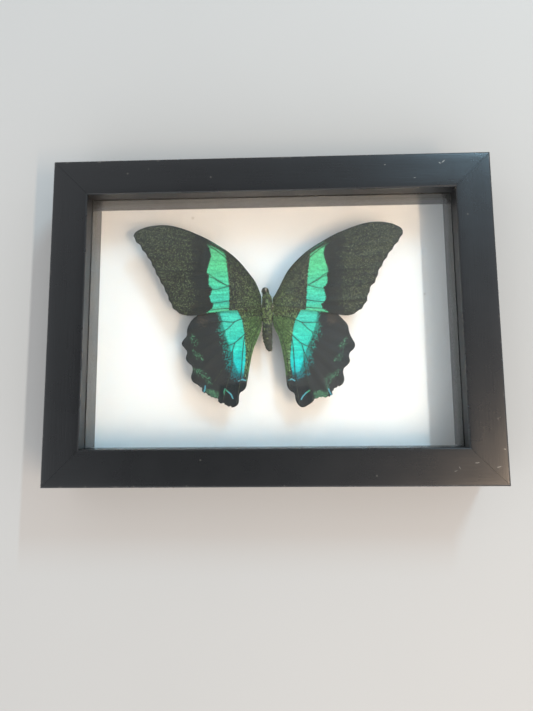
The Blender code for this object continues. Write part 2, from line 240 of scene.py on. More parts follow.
def noise_value(tree, place, scale, detail=2.0, roughness=0.5):
    """Soft noise from 0 to 1, with so many waves to the metre."""
    inputs = {"Vector": place, "Scale": scale, "Detail": detail, "Roughness": roughness}
    return add(tree, "ShaderNodeTexNoise", inputs).outputs["Fac"]


def finish(name, **values):
    """A material with one Principled shader, its plain values set on the shader's own sockets."""
    made = bpy.data.materials.new(name)
    made.use_nodes = True
    surface = made.node_tree.nodes["Principled BSDF"]
    for socket, value in values.items():
        surface.inputs[socket.replace("_", " ")].default_value = value
    return made, made.node_tree, surface


def bump(tree, height, distance, strength=1.0):
    """A normal tilted by the slope of a height, which is worth this many metres."""
    inputs = {"Height": height, "Distance": distance, "Strength": strength}
    return add(tree, "ShaderNodeBump", inputs).outputs["Normal"]


def group(name, inputs, outputs):
    """An empty node group with these float or colour sockets: (tree, its inputs node, a link-out)."""
    tree = bpy.data.node_groups.new(name, "ShaderNodeTree")
    for socket, kind, default in inputs:
        made = tree.interface.new_socket(socket, in_out="INPUT", socket_type="NodeSocket" + kind)
        if default is not None:
            made.default_value = default
    for socket, kind in outputs:
        tree.interface.new_socket(socket, in_out="OUTPUT", socket_type="NodeSocket" + kind)
    source = tree.nodes.new("NodeGroupInput")
    sink = tree.nodes.new("NodeGroupOutput")
    return tree, source.outputs, sink.inputs


def use(tree, made_group, **inputs):
    """A node group placed in a material, with this material's own values."""
    node = tree.nodes.new("ShaderNodeGroup")
    node.node_tree = made_group
    for name, value in inputs.items():
        socket = node.inputs[name.replace("_", " ")]
        if isinstance(value, bpy.types.NodeSocket):
            tree.links.new(value, socket)
        else:
            socket.default_value = value
    return node.outputs


def wear_finish(material, *names):
    """The finish put on pieces of the construction."""
    for name in names:
        nodes[name].data.materials.clear()
        nodes[name].data.materials.append(material)


print("middle grey on the screen is", round(linear(128, 128, 128)[0], 3), "linear")

# %% [markdown]
# ## Shared effects
# Two things happen to almost every surface here. Small dust settles on it, and its tone wanders a
# little over a few centimetres. Each is a node group with named inputs, built once and placed in every
# material that needs it. A group gives out only masks and values, and the material decides what to do.

# %% Shared shader groups
dust_group, dust_in, dust_out = group(
    "settled_dust",
    [("Place", "Vector", None), ("Size", "Float", 900.0), ("Amount", "Float", 0.1)],
    [("Mask", "Float")],
)
dust_cells = add(
    dust_group, "ShaderNodeTexVoronoi", {"Vector": dust_in["Place"], "Scale": dust_in["Size"]}
)
chance = add(dust_group, "ShaderNodeSeparateColor", {0: dust_cells.outputs["Color"]}).outputs[0]
chosen = math_node(dust_group, "LESS_THAN", chance, dust_in["Amount"])
grain_shape = smooth_step(dust_group, dust_cells.outputs["Distance"], 0.12, 0.30, 1.0, 0.0)
dust_group.links.new(math_node(dust_group, "MULTIPLY", chosen, grain_shape), dust_out["Mask"])

drift_group, drift_in, drift_out = group(
    "tone_drift",
    [("Place", "Vector", None), ("Size", "Float", 30.0), ("Low", "Float", 0.9), ("High", "Float", 1.1)],
    [("Value", "Float")],
)
drift_noise = noise_value(drift_group, drift_in["Place"], drift_in["Size"], 4.0, 0.6)
drift_value = smooth_step(drift_group, drift_noise, 0.3, 0.7, drift_in["Low"], drift_in["High"])
drift_group.links.new(drift_value, drift_out["Value"])
print("groups", dust_group.name, drift_group.name)

# %% [markdown]
# ## Rails
# The moulding is fibreboard wrapped in a satin black foil. The foil carries a hardly visible grain along
# its rail, so that a lamp draws a streak across it, and the two rails of one corner catch the light
# unlike. A few specks of dust stay on the face, some knocks have left pale dashes near the corners, and
# the arrises are rubbed. The foil is duller where it turns down to the glass, and the face is slightly
# crowned. The shape is right already, so only the material changes: one for the long rails and one for
# the short ones, which differ in the way that their grain runs.

# %% A short pale knock
knock_group, knock_in, knock_out = group(
    "knock",
    [("Place", "Vector", None), ("Middle", "Vector", None), ("Turn", "Float", 0.0),
     ("Length", "Float", 0.002), ("Width", "Float", 0.0003)],
    [("Mask", "Float")],
)
from_middle = add(knock_group, "ShaderNodeVectorMath", {0: knock_in["Place"], 1: knock_in["Middle"]},
                  operation="SUBTRACT").outputs[0]
turned = add(knock_group, "ShaderNodeVectorRotate", {"Vector": from_middle, "Angle": knock_in["Turn"]},
             rotation_type="Z_AXIS").outputs[0]
knock_axes = add(knock_group, "ShaderNodeSeparateXYZ", {0: turned}).outputs
knock_noise = noise_value(knock_group, knock_in["Place"], 1500.0, 3.0, 0.7)
along_knock = math_node(knock_group, "DIVIDE", knock_axes["X"], knock_in["Length"])
across_knock = math_node(knock_group, "DIVIDE", knock_axes["Y"], knock_in["Width"])
along_square = math_node(knock_group, "MULTIPLY", along_knock, along_knock)
across_square = math_node(knock_group, "MULTIPLY", across_knock, across_knock)
far_knock = math_node(knock_group, "SQRT", math_node(knock_group, "ADD", along_square, across_square))
knock_shake = math_node(knock_group, "MULTIPLY", math_node(knock_group, "SUBTRACT", knock_noise, 0.5), 1.6)
rough_knock = math_node(knock_group, "ADD", far_knock, knock_shake)
knock_group.links.new(smooth_step(knock_group, rough_knock, 0.25, 0.6, 1.0, 0.0), knock_out["Mask"])
print("group", knock_group.name)

# %% Satin black foil
# Each knock: its middle, how far it turns to the left, its half length and its half width.
KNOCKS = [
    ((86.5, -64.4), 0.15, 2.0, 0.32), ((95.7, -66.1), 0.25, 2.1, 0.30), ((98.2, -58.8), -0.1, 1.4, 0.35),
    ((79.1, -66.5), -1.1, 1.6, 0.22), ((77.5, -67.7), 0.4, 1.5, 0.20), ((78.8, 69.9), 0.7, 2.2, 0.5),
    ((77.3, 69.3), -0.6, 1.2, 0.45), ((52.6, 69.0), 0.2, 0.9, 0.3), ((65.6, 62.5), 0.1, 0.9, 0.3),
]
CROWN = 0.12
GRAIN_DEPTH = 0.028
WALL_ROUGHNESS = 0.15
RAIL_WIDTH = 16.2


def foil(name, grain_scale, across):
    """Black foil whose grain is stretched along the rail. Across is the axis over the rail's width."""
    made, tree, surface = finish(name, Roughness=0.28, Specular_IOR_Level=0.66)
    place = object_place(tree)
    drift = use(tree, drift_group, Place=place, Size=22.0, Low=0.9, High=1.12)["Value"]
    specks = use(tree, dust_group, Place=place, Size=520.0, Amount=0.012)["Mask"]
    xyz = add(tree, "ShaderNodeSeparateXYZ", {0: place}).outputs
    from_side = math_node(tree, "SUBTRACT", high[0], math_node(tree, "ABSOLUTE", xyz["X"]))
    from_end = math_node(tree, "SUBTRACT", high[1], math_node(tree, "ABSOLUTE", xyz["Y"]))
    from_front = math_node(tree, "SUBTRACT", FRAME_TOP, xyz["Z"])
    corner_line = math_node(tree, "ADD", math_node(tree, "MINIMUM", from_side, from_end), from_front)
    rub_noise = noise_value(tree, place, 260.0, 4.0, 0.7)
    past_rub = math_node(tree, "SUBTRACT", corner_line, math_node(tree, "MULTIPLY", rub_noise, 1.3 * MM))
    rubbed = smooth_step(tree, past_rub, 0.0, 0.25 * MM, 1.0, 0.0)
    rubbed = math_node(tree, "MULTIPLY", rubbed, smooth_step(tree, rub_noise, 0.55, 0.68))
    black = blend_colour(tree, 1.0, linear(15, 16, 17), drift, "MULTIPLY")
    black = blend_colour(tree, math_node(tree, "MULTIPLY", specks, 0.30), black, linear(120, 116, 108))
    black = blend_colour(tree, math_node(tree, "MULTIPLY", rubbed, 0.40), black, linear(96, 92, 86))
    for (x, y), turn, length, width in KNOCKS:
        mask = use(tree, knock_group, Place=place, Middle=(x * MM, y * MM, FRAME_TOP), Turn=-turn,
                   Length=length * MM, Width=width * MM)["Mask"]
        black = blend_colour(tree, math_node(tree, "MULTIPLY", mask, 0.8), black, linear(150, 146, 138))
    tree.links.new(black, surface.inputs["Base Color"])
    gloss = use(tree, drift_group, Place=place, Size=60.0, Low=0.265, High=0.30)["Value"]
    duller = smooth_step(tree, from_front, 0.4 * MM, 1.2 * MM, 0.0, WALL_ROUGHNESS)
    tree.links.new(math_node(tree, "ADD", gloss, duller), surface.inputs["Roughness"])
    grain_place = add(tree, "ShaderNodeMapping", {"Vector": place, "Scale": grain_scale}).outputs[0]
    grain = noise_value(tree, grain_place, 2600.0, 2.0, 0.5)
    middle = high["XY".index(across)] - RAIL_WIDTH / 2 * MM
    from_crest = math_node(tree, "SUBTRACT", math_node(tree, "ABSOLUTE", xyz[across]), middle)
    share = math_node(tree, "DIVIDE", from_crest, RAIL_WIDTH / 2 * MM)
    square = math_node(tree, "MINIMUM", math_node(tree, "MULTIPLY", share, share), 1.0)
    sag = math_node(tree, "MULTIPLY", math_node(tree, "MULTIPLY", square, square), CROWN)
    on_face = smooth_step(tree, from_front, 0.2 * MM, 1.2 * MM, GRAIN_DEPTH, 0.1 * GRAIN_DEPTH)
    relief = math_node(tree, "SUBTRACT", math_node(tree, "MULTIPLY", grain, on_face), sag)
    tree.links.new(bump(tree, relief, 1.0 * MM, 1.0), surface.inputs["Normal"])
    return made


wear_finish(foil("black_foil_long", (0.02, 1.0, 1.0), "Y"), "rail_top", "rail_bottom")
wear_finish(foil("black_foil_short", (1.0, 0.02, 1.0), "X"), "rail_left", "rail_right")
print("knocks", len(KNOCKS))

# %% [markdown]
# ## Spacers, card, board and fittings
# Four strips of black card hold the pane off the back, smooth enough to pick up the white of the card at
# a low angle. The card is a plain matt white with a fibre so fine that it only breaks up the light. The
# hardboard behind is pressed brown fibre, and the points and the hanger are thin zinc-plated steel.

# %% Inner and rear finishes
strip, tree, surface = finish("black_strip", Roughness=0.26, Specular_IOR_Level=0.9)
place = object_place(tree)
drift = use(tree, drift_group, Place=place, Size=40.0, Low=0.85, High=1.15)["Value"]
tree.links.new(blend_colour(tree, 1.0, linear(50, 49, 48), drift, "MULTIPLY"), surface.inputs["Base Color"])
tree.links.new(bump(tree, noise_value(tree, place, 1800.0), 0.02 * MM, 0.4), surface.inputs["Normal"])
wear_finish(strip, "spacer_top", "spacer_bottom", "spacer_left", "spacer_right")

card, tree, surface = finish("white_card", Roughness=0.82, Specular_IOR_Level=0.25)
place = object_place(tree)
drift = use(tree, drift_group, Place=place, Size=14.0, Low=0.975, High=1.0)["Value"]
fibre = noise_value(tree, place, 3000.0, 3.0, 0.7)
white = blend_colour(tree, 1.0, linear(241, 240, 239), drift, "MULTIPLY")
motes = use(tree, dust_group, Place=place, Size=260.0, Amount=0.010)["Mask"]
white = blend_colour(tree, math_node(tree, "MULTIPLY", motes, 0.25), white, linear(150, 140, 125))
tree.links.new(white, surface.inputs["Base Color"])
tree.links.new(bump(tree, fibre, 0.03 * MM, 0.5), surface.inputs["Normal"])
wear_finish(card, "backing_card")

board, tree, surface = finish("hardboard", Roughness=0.7)
place = object_place(tree)
fibres = noise_value(tree, place, 420.0, 6.0, 0.75)
flakes = use(tree, dust_group, Place=place, Size=520.0, Amount=0.25)["Mask"]
brown = blend_colour(tree, smooth_step(tree, fibres, 0.3, 0.7), linear(112, 78, 50), linear(158, 118, 80))
brown = blend_colour(tree, math_node(tree, "MULTIPLY", flakes, 0.35), brown, linear(86, 58, 38))
drift = use(tree, drift_group, Place=place, Size=18.0, Low=0.9, High=1.08)["Value"]
tree.links.new(blend_colour(tree, 1.0, brown, drift, "MULTIPLY"), surface.inputs["Base Color"])
tree.links.new(bump(tree, fibres, 0.12 * MM, 0.5), surface.inputs["Normal"])
wear_finish(board, "back_board")

steel, tree, surface = finish("zinc_steel", Metallic=1.0, Roughness=0.34)
place = object_place(tree)
spangle = add(tree, "ShaderNodeTexVoronoi", {"Vector": place, "Scale": 420.0}).outputs["Color"]
spangle = add(tree, "ShaderNodeSeparateColor", {0: spangle}).outputs[0]
tree.links.new(smooth_step(tree, spangle, 0, 1, 0.28, 0.46), surface.inputs["Roughness"])
zinc = blend_colour(tree, spangle, linear(176, 176, 172), linear(205, 203, 196))
tree.links.new(zinc, surface.inputs["Base Color"])
fittings = [n for n in nodes if n.startswith(("tab_", "hanger_"))]
wear_finish(steel, *fittings)

foam, tree, surface = finish("white_foam", Roughness=0.9)
place = object_place(tree)
cells = add(tree, "ShaderNodeTexVoronoi", {"Vector": place, "Scale": 2600.0}).outputs["Distance"]
foam_white = blend_colour(tree, cells, linear(236, 235, 230), linear(205, 203, 196))
tree.links.new(foam_white, surface.inputs["Base Color"])
tree.links.new(bump(tree, cells, 0.1 * MM, 0.8), surface.inputs["Normal"])
wear_finish(foam, "mounting_block")
print("finishes on", len(fittings) + 12, "pieces")

# %% [markdown]
# ## Glass
# The pane is plain float glass. It mirrors a little and lets the rest through, and lamps shine through
# it onto the card. A renderer that traces shadows as straight lines would stop the lamps at the pane,
# so the pane casts no shadow. Its values stay plain numbers, because clear glass has no pattern.

# %% Clear glass
glass, tree, surface = finish("clear_glass", Roughness=0.0, IOR=1.5, Transmission_Weight=1.0)
surface.inputs["Base Color"].default_value = (0.975, 0.995, 0.985, 1.0)
wear_finish(glass, "glass")
nodes["glass"].visible_shadow = False

# %% [markdown]
# ## The shape of a wing
# A wing is a film about a tenth of a millimetre thick. Its outline comes from the construction's flat
# wing: the loop of edges round its upper face. The loop is cut into short even steps, its inside is
# filled with a fine even net of points, and a Delaunay triangulation joins them. A dense, even net
# matters, because the markings are stored on its points as distances, and a distance read off a fine
# net stays smooth, so that the shader can draw a crisp edge wherever the distance passes zero.

# %% Outline and net of a wing
NET_STEP = 0.42
EDGE_STEP = 0.36
rng = np.random.default_rng(7)


def outline_of(node):
    """The outline of a flat construction piece seen from above, as millimetre points in order."""
    bm = bmesh.new()
    bm.from_mesh(nodes[node].data)
    bmesh.ops.remove_doubles(bm, verts=bm.verts, dist=1e-6)
    top = max(v.co.z for v in bm.verts) - 1e-6
    rim = [e for e in bm.edges if all(v.co.z > top for v in e.verts)
           and sum(all(v.co.z > top for v in f.verts) for f in e.link_faces) == 1]
    ways = {}
    for edge in rim:
        a, b = (v.index for v in edge.verts)
        ways.setdefault(a, []).append(b)
        ways.setdefault(b, []).append(a)
    start = rim[0].verts[0].index
    loop, before, here = [start], None, start
    while True:
        on = next(n for n in ways[here] if n != before)
        if on == start:
            break
        loop.append(on)
        before, here = here, on
    bm.verts.ensure_lookup_table()
    points = np.array([bm.verts[i].co.xy[:] for i in loop]) / MM
    bm.free()
    return points


def even_steps(points, step, closed=True):
    """The same path with a point every step along it."""
    path = np.vstack([points, points[:1]]) if closed else np.asarray(points, float)
    runs = np.hypot(*np.diff(path, axis=0).T)
    along = np.concatenate([[0], np.cumsum(runs)])
    count = max(2, int(round(along[-1] / step)))
    wanted = np.linspace(0, along[-1], count + 1)
    if closed:
        wanted = wanted[:-1]
    return np.column_stack([np.interp(wanted, along, path[:, i]) for i in (0, 1)])


def distance_to(points, path, closed=False):
    """How far each point is from a path, in millimetres."""
    path = np.asarray(path, float)
    ends = np.roll(path, -1, axis=0) if closed else path[1:]
    starts = path if closed else path[:-1]
    best = np.full(len(points), 1e9)
    for a, b in zip(starts, ends):
        run = b - a
        share = np.clip(((points - a) @ run) / max(run @ run, 1e-12), 0, 1)
        gap = points - a - share[:, None] * run
        best = np.minimum(best, np.hypot(gap[:, 0], gap[:, 1]))
    return best


def inside(points, path):
    """Which points lie inside a closed path."""
    path = np.asarray(path, float)
    x, y = points[:, 0], points[:, 1]
    within = np.zeros(len(points), bool)
    for (ax, ay), (bx, by) in zip(path, np.roll(path, -1, axis=0)):
        crosses = (ay > y) != (by > y)
        slope = (bx - ax) / (by - ay) if by != ay else 0.0
        within ^= crosses & (x < ax + slope * (y - ay))
    return within


def depth_in(points, path):
    """Distance to a closed path, positive inside it."""
    far = distance_to(points, path, closed=True)
    return np.where(inside(points, path), far, -far)


def net_inside(outline):
    """Points on and inside an outline, with the triangles that join them."""
    lo, hi = outline.min(0), outline.max(0)
    rows = np.arange(lo[1], hi[1], NET_STEP * math.sqrt(3) / 2)
    grid = []
    for number, y in enumerate(rows):
        xs = np.arange(lo[0] + (number % 2) * NET_STEP / 2, hi[0], NET_STEP)
        grid.append(np.column_stack([xs, np.full(len(xs), y)]))
    grid = np.vstack(grid)
    grid += rng.uniform(-0.05, 0.05, grid.shape)
    grid = grid[depth_in(grid, outline) > 0.55 * NET_STEP]
    points = [Vector(p) for p in np.vstack([outline, grid])]
    edges = [(i, (i + 1) % len(outline)) for i in range(len(outline))]
    made = geometry.delaunay_2d_cdt(points, edges, [], 1, 1e-5)
    return np.array([p[:] for p in made[0]]), [tuple(f) for f in made[2]]


print("net step", NET_STEP, "mm")

# %% [markdown]
# ## Worn edges
# The fringe of a wing wears off. A forewing's outer edge is cut back a little between every two veins,
# and a hindwing is torn into small teeth beside the lobe at its rear corner. Both are a push of the
# outline's points inwards by a wave along the edge, which is simpler than drawing each nick.

# %% Worn edges
SCALLOP_LENGTH = 4.5
SCALLOP_DEPTH = 0.42
SCALLOP_BEYOND = 33
TOOTH_LENGTH = 1.9
TOOTH_DEPTH = 0.75
TORN_BELOW = -31.0
TORN_BESIDE = 18.5


def side_of(wing):
    """-1 for a left wing and 1 for a right one."""
    return -1.0 if wing.endswith("left") else 1.0


def outward(outline):
    """The outward direction at each point of an outline, and each point's distance along it."""
    run = np.roll(outline, -1, axis=0) - np.roll(outline, 1, axis=0)
    out = np.column_stack([run[:, 1], -run[:, 0]]) / np.hypot(*run.T)[:, None]
    probe = outline + 0.1 * out
    out *= np.where(inside(probe, outline), -1.0, 1.0)[:, None]
    along = np.concatenate([[0], np.cumsum(np.hypot(*np.diff(outline, axis=0).T))])
    return out, along


def ragged(outline, side):
    """A hindwing outline whose fringe is torn into small teeth beside the lobe."""
    out, along = outward(outline)
    torn = (outline[:, 1] < TORN_BELOW) & (side * outline[:, 0] > TORN_BESIDE)
    tooth = np.abs(np.sin(np.pi * along / TOOTH_LENGTH)) * (0.6 + 0.4 * np.sin(along * 1.7))
    return outline - (TOOTH_DEPTH * tooth * torn)[:, None] * out


def scalloped(outline, side):
    """A forewing outline whose outer margin is cut back a little at the middle of each cell."""
    out, along = outward(outline)
    facing = np.clip((out @ np.array([0.86 * side, -0.5]) - 0.72) / 0.2, 0, 1)
    cut = SCALLOP_DEPTH * (0.5 - 0.5 * np.cos(2 * np.pi * along / SCALLOP_LENGTH)) ** 0.7
    cut += 0.10 * np.sin(along * 3.1) ** 2
    cut *= facing * (np.abs(outline[:, 0]) > SCALLOP_BEYOND)
    return outline - cut[:, None] * out


wing_outlines = {}
for wing in ("forewing_left", "forewing_right", "hindwing_left", "hindwing_right"):
    worn_edge = scalloped if wing.startswith("fore") else ragged
    wing_outlines[wing] = worn_edge(even_steps(outline_of(wing), EDGE_STEP), side_of(wing))
    print(wing, len(wing_outlines[wing]), "steps round the edge")

# %% [markdown]
# ## Veins
# The veins of a swallowtail's wing leave the root as a few stems, close a long cell in the middle of the
# wing, and run on to the rear edge, where each one ends at a tooth. They are drawn once for the right
# side, as short lists of points, and the left side is the same drawing mirrored about the body's middle
# line. The left wings are spread a touch higher, which the mirror also allows for.

# %% Vein drawings
MIDDLE_LINE = (-1.75, 0.01)
FOREWING_VEINS = {
    "costa": [(1.4, 10.6), (5, 17.2), (8.6, 23), (14, 29.2), (20, 33.8), (28, 38.6), (36, 42), (44, 44.4)],
    "subcosta": [(1.6, 9.6), (6.2, 17.6), (12, 25.4), (18, 31), (25, 35.8), (31.5, 39.6), (36.5, 41.9)],
    "cell_front": [(1.8, 9.0), (7, 16.8), (13, 24), (18.6, 29.8), (24, 34), (28.4, 36)],
    "radius_2": [(22, 32.8), (30, 38), (38, 41.8), (46, 44.7)],
    "radius_3": [(28.4, 36), (38, 39.8), (48, 43), (56, 44)],
    "radius_4": [(38, 39.8), (48, 41.6), (60.2, 41.6)],
    "radius_5": [(28.4, 36), (40, 37.8), (52, 39.2), (60.6, 38.4)],
    "media_1": [(29.6, 32), (40, 34), (50, 35), (58.4, 34.8)],
    "media_2": [(30, 28), (42, 29), (54.6, 29.8)],
    "media_3": [(29.6, 23.8), (40, 23), (51.2, 23.8)],
    "cell_end": [(28.4, 36), (29.7, 32), (30, 28), (29.6, 23.8)],
    "cell_rear": [(1.8, 8.4), (8, 11.9), (17, 16.2), (22, 19.2), (26.2, 22), (29.6, 23.8)],
    "cubitus_1a": [(17, 16.2), (21, 15.1), (24.2, 14.7), (35, 15.2), (48, 17)],
    "cubitus_1b": [(17, 16.2), (21.5, 18.4), (25.8, 20.6), (36, 20.4), (49, 20.3)],
    "cubitus_2": [(9, 12.3), (12.5, 10.2), (16.6, 9.2), (24.7, 8.2), (35, 8.4), (44.4, 9.6)],
    "anal": [(2, 6.8), (10, 6.0), (20, 5.4), (30, 4.4), (40, 4.1)],
}
HINDWING_VEINS = {
    "costa": [(2, 3), (9, 5.6), (18, 6.2), (26, 4.0), (33.4, -1.6)],
    "radius": [(2, 2.6), (7, 1.6), (12, -0.2), (15, -1.4), (21, -1.3), (28, -2.6), (35.4, -6.2)],
    "media_1": [(14, -1.2), (18.5, -5.5), (26, -8.6), (37.6, -12)],
    "media_2": [(18.7, -8.6), (26, -13.4), (35.2, -19.2)],
    "cell_end": [(18.5, -5.5), (19.2, -8.6), (17, -12.5)],
    "cell_rear": [(1.8, 1.2), (5.6, -3.2), (10, -7.5), (13.8, -11), (17, -12.5)],
    "media_3": [(17, -12.5), (24, -18.6), (32.2, -27.6)],
    "cubitus_1": [(13.8, -11), (15.3, -16), (19.6, -24), (26.4, -34.8)],
    "cubitus_1b": [(14.7, -14), (15.0, -21), (16.6, -29), (18.6, -37.4)],
    "cubitus_2": [(9.2, -6.8), (10.0, -14), (10.7, -26), (12.4, -38.6)],
    "anal": [(1.6, -0.6), (4.2, -6.5), (6.4, -14), (7.6, -22), (8.0, -31.6)],
}


def mirrored(points, rise=0.0, shift=0.0):
    """Right-hand points on the left side. Rise lifts them with their distance from the root."""
    points = np.asarray(points, float)
    axis = MIDDLE_LINE[0] + MIDDLE_LINE[1] * points[:, 1]
    x = 2 * axis - points[:, 0] + shift
    y = points[:, 1] + rise * (axis - x)
    return np.column_stack([x, y])


def rounded(points, step=0.6):
    """A smooth path through a few points (Catmull-Rom), cut into even steps."""
    points = np.asarray(points, float)
    padded = np.vstack([2 * points[0] - points[1], points, 2 * points[-1] - points[-2]])
    path = []
    for i in range(1, len(padded) - 2):
        a, b, c, d = padded[i - 1:i + 3]
        for t in np.linspace(0, 1, 12, endpoint=False):
            path.append(0.5 * (2 * b + (c - a) * t + (2 * a - 5 * b + 4 * c - d) * t**2
                               + (3 * b - a - 3 * c + d) * t**3))
    path.append(points[-1])
    return even_steps(np.array(path), step, closed=False)


FORE_MIRROR = {"rise": 0.004, "shift": 0.35}
HIND_MIRROR = {"rise": 0.045, "shift": 0.6}
vein_paths = {}
for wing in wing_outlines:
    drawing = FOREWING_VEINS if wing.startswith("fore") else HINDWING_VEINS
    lean = FORE_MIRROR if wing.startswith("fore") else HIND_MIRROR
    paths = {}
    for name, points in drawing.items():
        placed = mirrored(points, **lean) if wing.endswith("left") else np.asarray(points, float)
        paths[name] = rounded(placed)
    vein_paths[wing] = paths
print("veins a side:", len(FOREWING_VEINS) + len(HINDWING_VEINS))

# %% [markdown]
# ## Markings
# The pattern is drawn the way a painter would block it in: a closed outline for each bright patch, in
# millimetres on the wing. For every point of the net the distance to those outlines is worked out and
# stored. The shader turns a distance into paint, so an edge can be sharp, or break up into loose scales
# over a few millimetres, by nothing but how softly the distance is read.

# %% Outlines of the markings
FORE_BAND = {
    "forewing_right": [
        [(27.0, 36.1), (25.6, 34.9), (24.9, 33), (24.6, 30.6), (25.3, 27.6), (26.3, 24.6), (26.6, 22.4),
         (25.8, 21.3), (26.2, 19.4), (25.9, 16.8), (24.1, 14.8), (24.9, 12.6), (25.3, 10.6), (24.7, 8.4),
         (22.9, 7.2), (23.5, 5.2), (26.4, 3.3), (21, 3.8), (16, 4.3), (16.2, 7), (16.6, 12), (16.9, 17),
         (17.2, 21), (17.8, 26), (18.3, 29.2), (18.6, 31.3), (20.6, 32.6), (23, 34)],
        [(18.4, 32.2), (21.5, 34.4), (25.4, 36.7), (24.9, 37.0), (21.2, 34.9), (18.3, 32.6)],
    ],
    "forewing_left": [
        [(-30.0, 36.6), (-28.9, 35.2), (-28.3, 33.4), (-28.0, 30.6), (-28.9, 27.6), (-29.7, 24.6),
         (-29.9, 22.8), (-28.9, 21.6), (-29.1, 19.4), (-28.7, 16.4), (-27.2, 15.2), (-28.0, 13.2),
         (-28.5, 11.2), (-27.9, 8.8), (-26.6, 7.8), (-27.4, 5.6), (-30.0, 3.8), (-24, 4.1), (-19.6, 4.8),
         (-19.5, 8), (-19.5, 13), (-19.7, 18), (-20.1, 22), (-20.6, 26.5), (-21.0, 29.6), (-21.4, 32.0),
         (-23.6, 33.6), (-26, 35.0)],
        [(-21.4, 33.2), (-24.4, 35.3), (-28.6, 37.6), (-28.2, 37.9), (-24.2, 35.8), (-21.3, 33.6)],
    ],
}
HIND_BAND = {
    "hindwing_right": {
        "inner": [(14.6, 6.0), (12.6, 2.6), (11.2, 0), (10.3, -3), (9.8, -6), (9.5, -9), (9.0, -13),
                  (8.6, -16), (8.5, -20), (9.3, -24)],
        "outer": [(22, 6.0), (21.4, 3), (20.9, 0), (20.4, -2.6), (19.6, -5), (18.6, -8), (16.8, -11.4),
                  (15.6, -15), (14.6, -19), (12.6, -24.4)],
    },
    "hindwing_left": {
        "inner": [(-16.6, 7.0), (-15.0, 3.2), (-13.6, 0.6), (-13, -3), (-12.5, -6), (-12.3, -10),
                  (-12, -14), (-12, -18), (-12.7, -23.6)],
        "outer": [(-24.6, 7.0), (-23.8, 3.6), (-22.6, 0), (-22.4, -2.6), (-21.4, -5), (-20.6, -8),
                  (-19.6, -11.4), (-18.2, -15), (-17.4, -19), (-15.4, -24.2)],
    },
}
GREEN_MOONS = {
    "hindwing_right": [
        [(33.9, -8.8), (33.6, -11.2), (31.9, -13.6), (31.3, -12.6), (32.6, -10.4)],
        [(32.6, -15.8), (31.4, -18), (28.9, -19.2), (29.1, -17.7), (30.8, -16.3)],
        [(30.6, -23.6), (29.6, -26), (26.8, -27.4), (25.4, -29), (25.2, -31.4), (24.2, -29), (25.2, -26.4),
         (27.8, -24.6)],
        [(19.3, -33.9), (22, -33.3), (24.6, -33.6), (24.9, -35.2), (21.5, -36.2), (19.3, -35.6)],
    ],
    "hindwing_left": [
        [(-36.9, -6.6), (-36.6, -9.2), (-34.8, -11.2), (-34.5, -9.2), (-35.6, -7.4)],
        [(-36.5, -14.0), (-35.0, -16.6), (-32.2, -18.2), (-32.6, -16.2), (-34.4, -14.6)],
        [(-35.2, -22.4), (-33.8, -24.6), (-31, -26.4), (-28.4, -29), (-28.4, -27), (-30.4, -24.6),
         (-33, -22.9)],
        [(-30, -31.9), (-27.6, -32.2), (-24.8, -33.6), (-24.9, -35), (-27.6, -34.4), (-29.4, -33.2)],
    ],
}
BLUE_ARCS = {
    "hindwing_right": [
        [(17.2, -32.5), (15.4, -33.7), (14, -35.2), (13.2, -36.6)],
        [(7.6, -27.9), (9, -27.3), (10.5, -28.1)],
        [(25.6, -32), (26.0, -33.4), (26.9, -34.9)],
    ],
    "hindwing_left": [
        [(-21.4, -31.5), (-20.4, -32.5), (-18.7, -34), (-17.8, -35.9)],
        [(-21.4, -31.5), (-21.8, -32.8), (-21.6, -34.2)],
        [(-15.2, -28), (-13.6, -27.3), (-11.9, -27.8)],
        [(-30.5, -30), (-30.6, -31.6), (-31.1, -32.8)],
    ],
}
GREEN_ENDS = {
    "hindwing_right": [(17.8, -32.2), (16.6, -32.9)],
    "hindwing_left": [(-20.6, -32.0), (-21.7, -32.6), (-21.6, -34.2)],
}
DEEP_BLACK = {
    "hindwing_right": [[(10, -31), (17.4, -30.4), (19, -34), (18.5, -41), (9, -41), (6, -33), (6.5, -28.6)]],
    "hindwing_left": [[(-24, -29.6), (-16.5, -29), (-11, -28.8), (-10.5, -33), (-14, -41), (-24, -40.5)]],
}
print("marked wings:", sorted(FORE_BAND) + sorted(HIND_BAND))

# %% [markdown]
# ## Relief and stored distances
# A dried wing waves a little, sinks between its veins and curls at its tip. One height rule serves all
# four wings, so the forewing stays clear of the hindwing beneath it. The net then gets its point
# attributes: the distance to the nearest vein, and how deep each point lies in each marking. A positive
# depth is inside the marking, and a negative one outside.

# %% Relief and stored distances
FILM_THICKNESS = 0.12
PLEAT_DEPTH = 0.20
PLEAT_REACH = 2.4


def reach(points):
    """Distance out from the body's middle line, along X."""
    return np.abs(points[:, 0] - MIDDLE_LINE[0] - MIDDLE_LINE[1] * points[:, 1])


def eased(value, start, end):
    """0 before the start and 1 past the end, smooth between."""
    share = np.clip((value - start) / (end - start), 0, 1)
    return share * share * (3 - 2 * share)


def wave(points):
    """The slow rise and fall of the wings, in millimetres."""
    x, y = points[:, 0], points[:, 1]
    out = reach(points)
    ripple = 0.16 * np.sin(x / 6.3 + y / 9.1) + 0.12 * np.sin(x / 3.9 - y / 5.7 + 1.3)
    tip = 1.5 * eased(np.hypot(out, y - 6), 36, 72) - 0.30 * eased(-y, 22, 42)
    return ripple * eased(out, 4, 16) + tip


def wing_heights(wing, points, to_vein):
    """The height of each point of a wing, with its waves and the sinking between veins."""
    middle = (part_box(wing)[0].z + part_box(wing)[1].z) / 2 / MM
    pleat = -PLEAT_DEPTH * eased(to_vein, 0.2, PLEAT_REACH)
    return middle + wave(points) + pleat + 0.5 * PLEAT_DEPTH


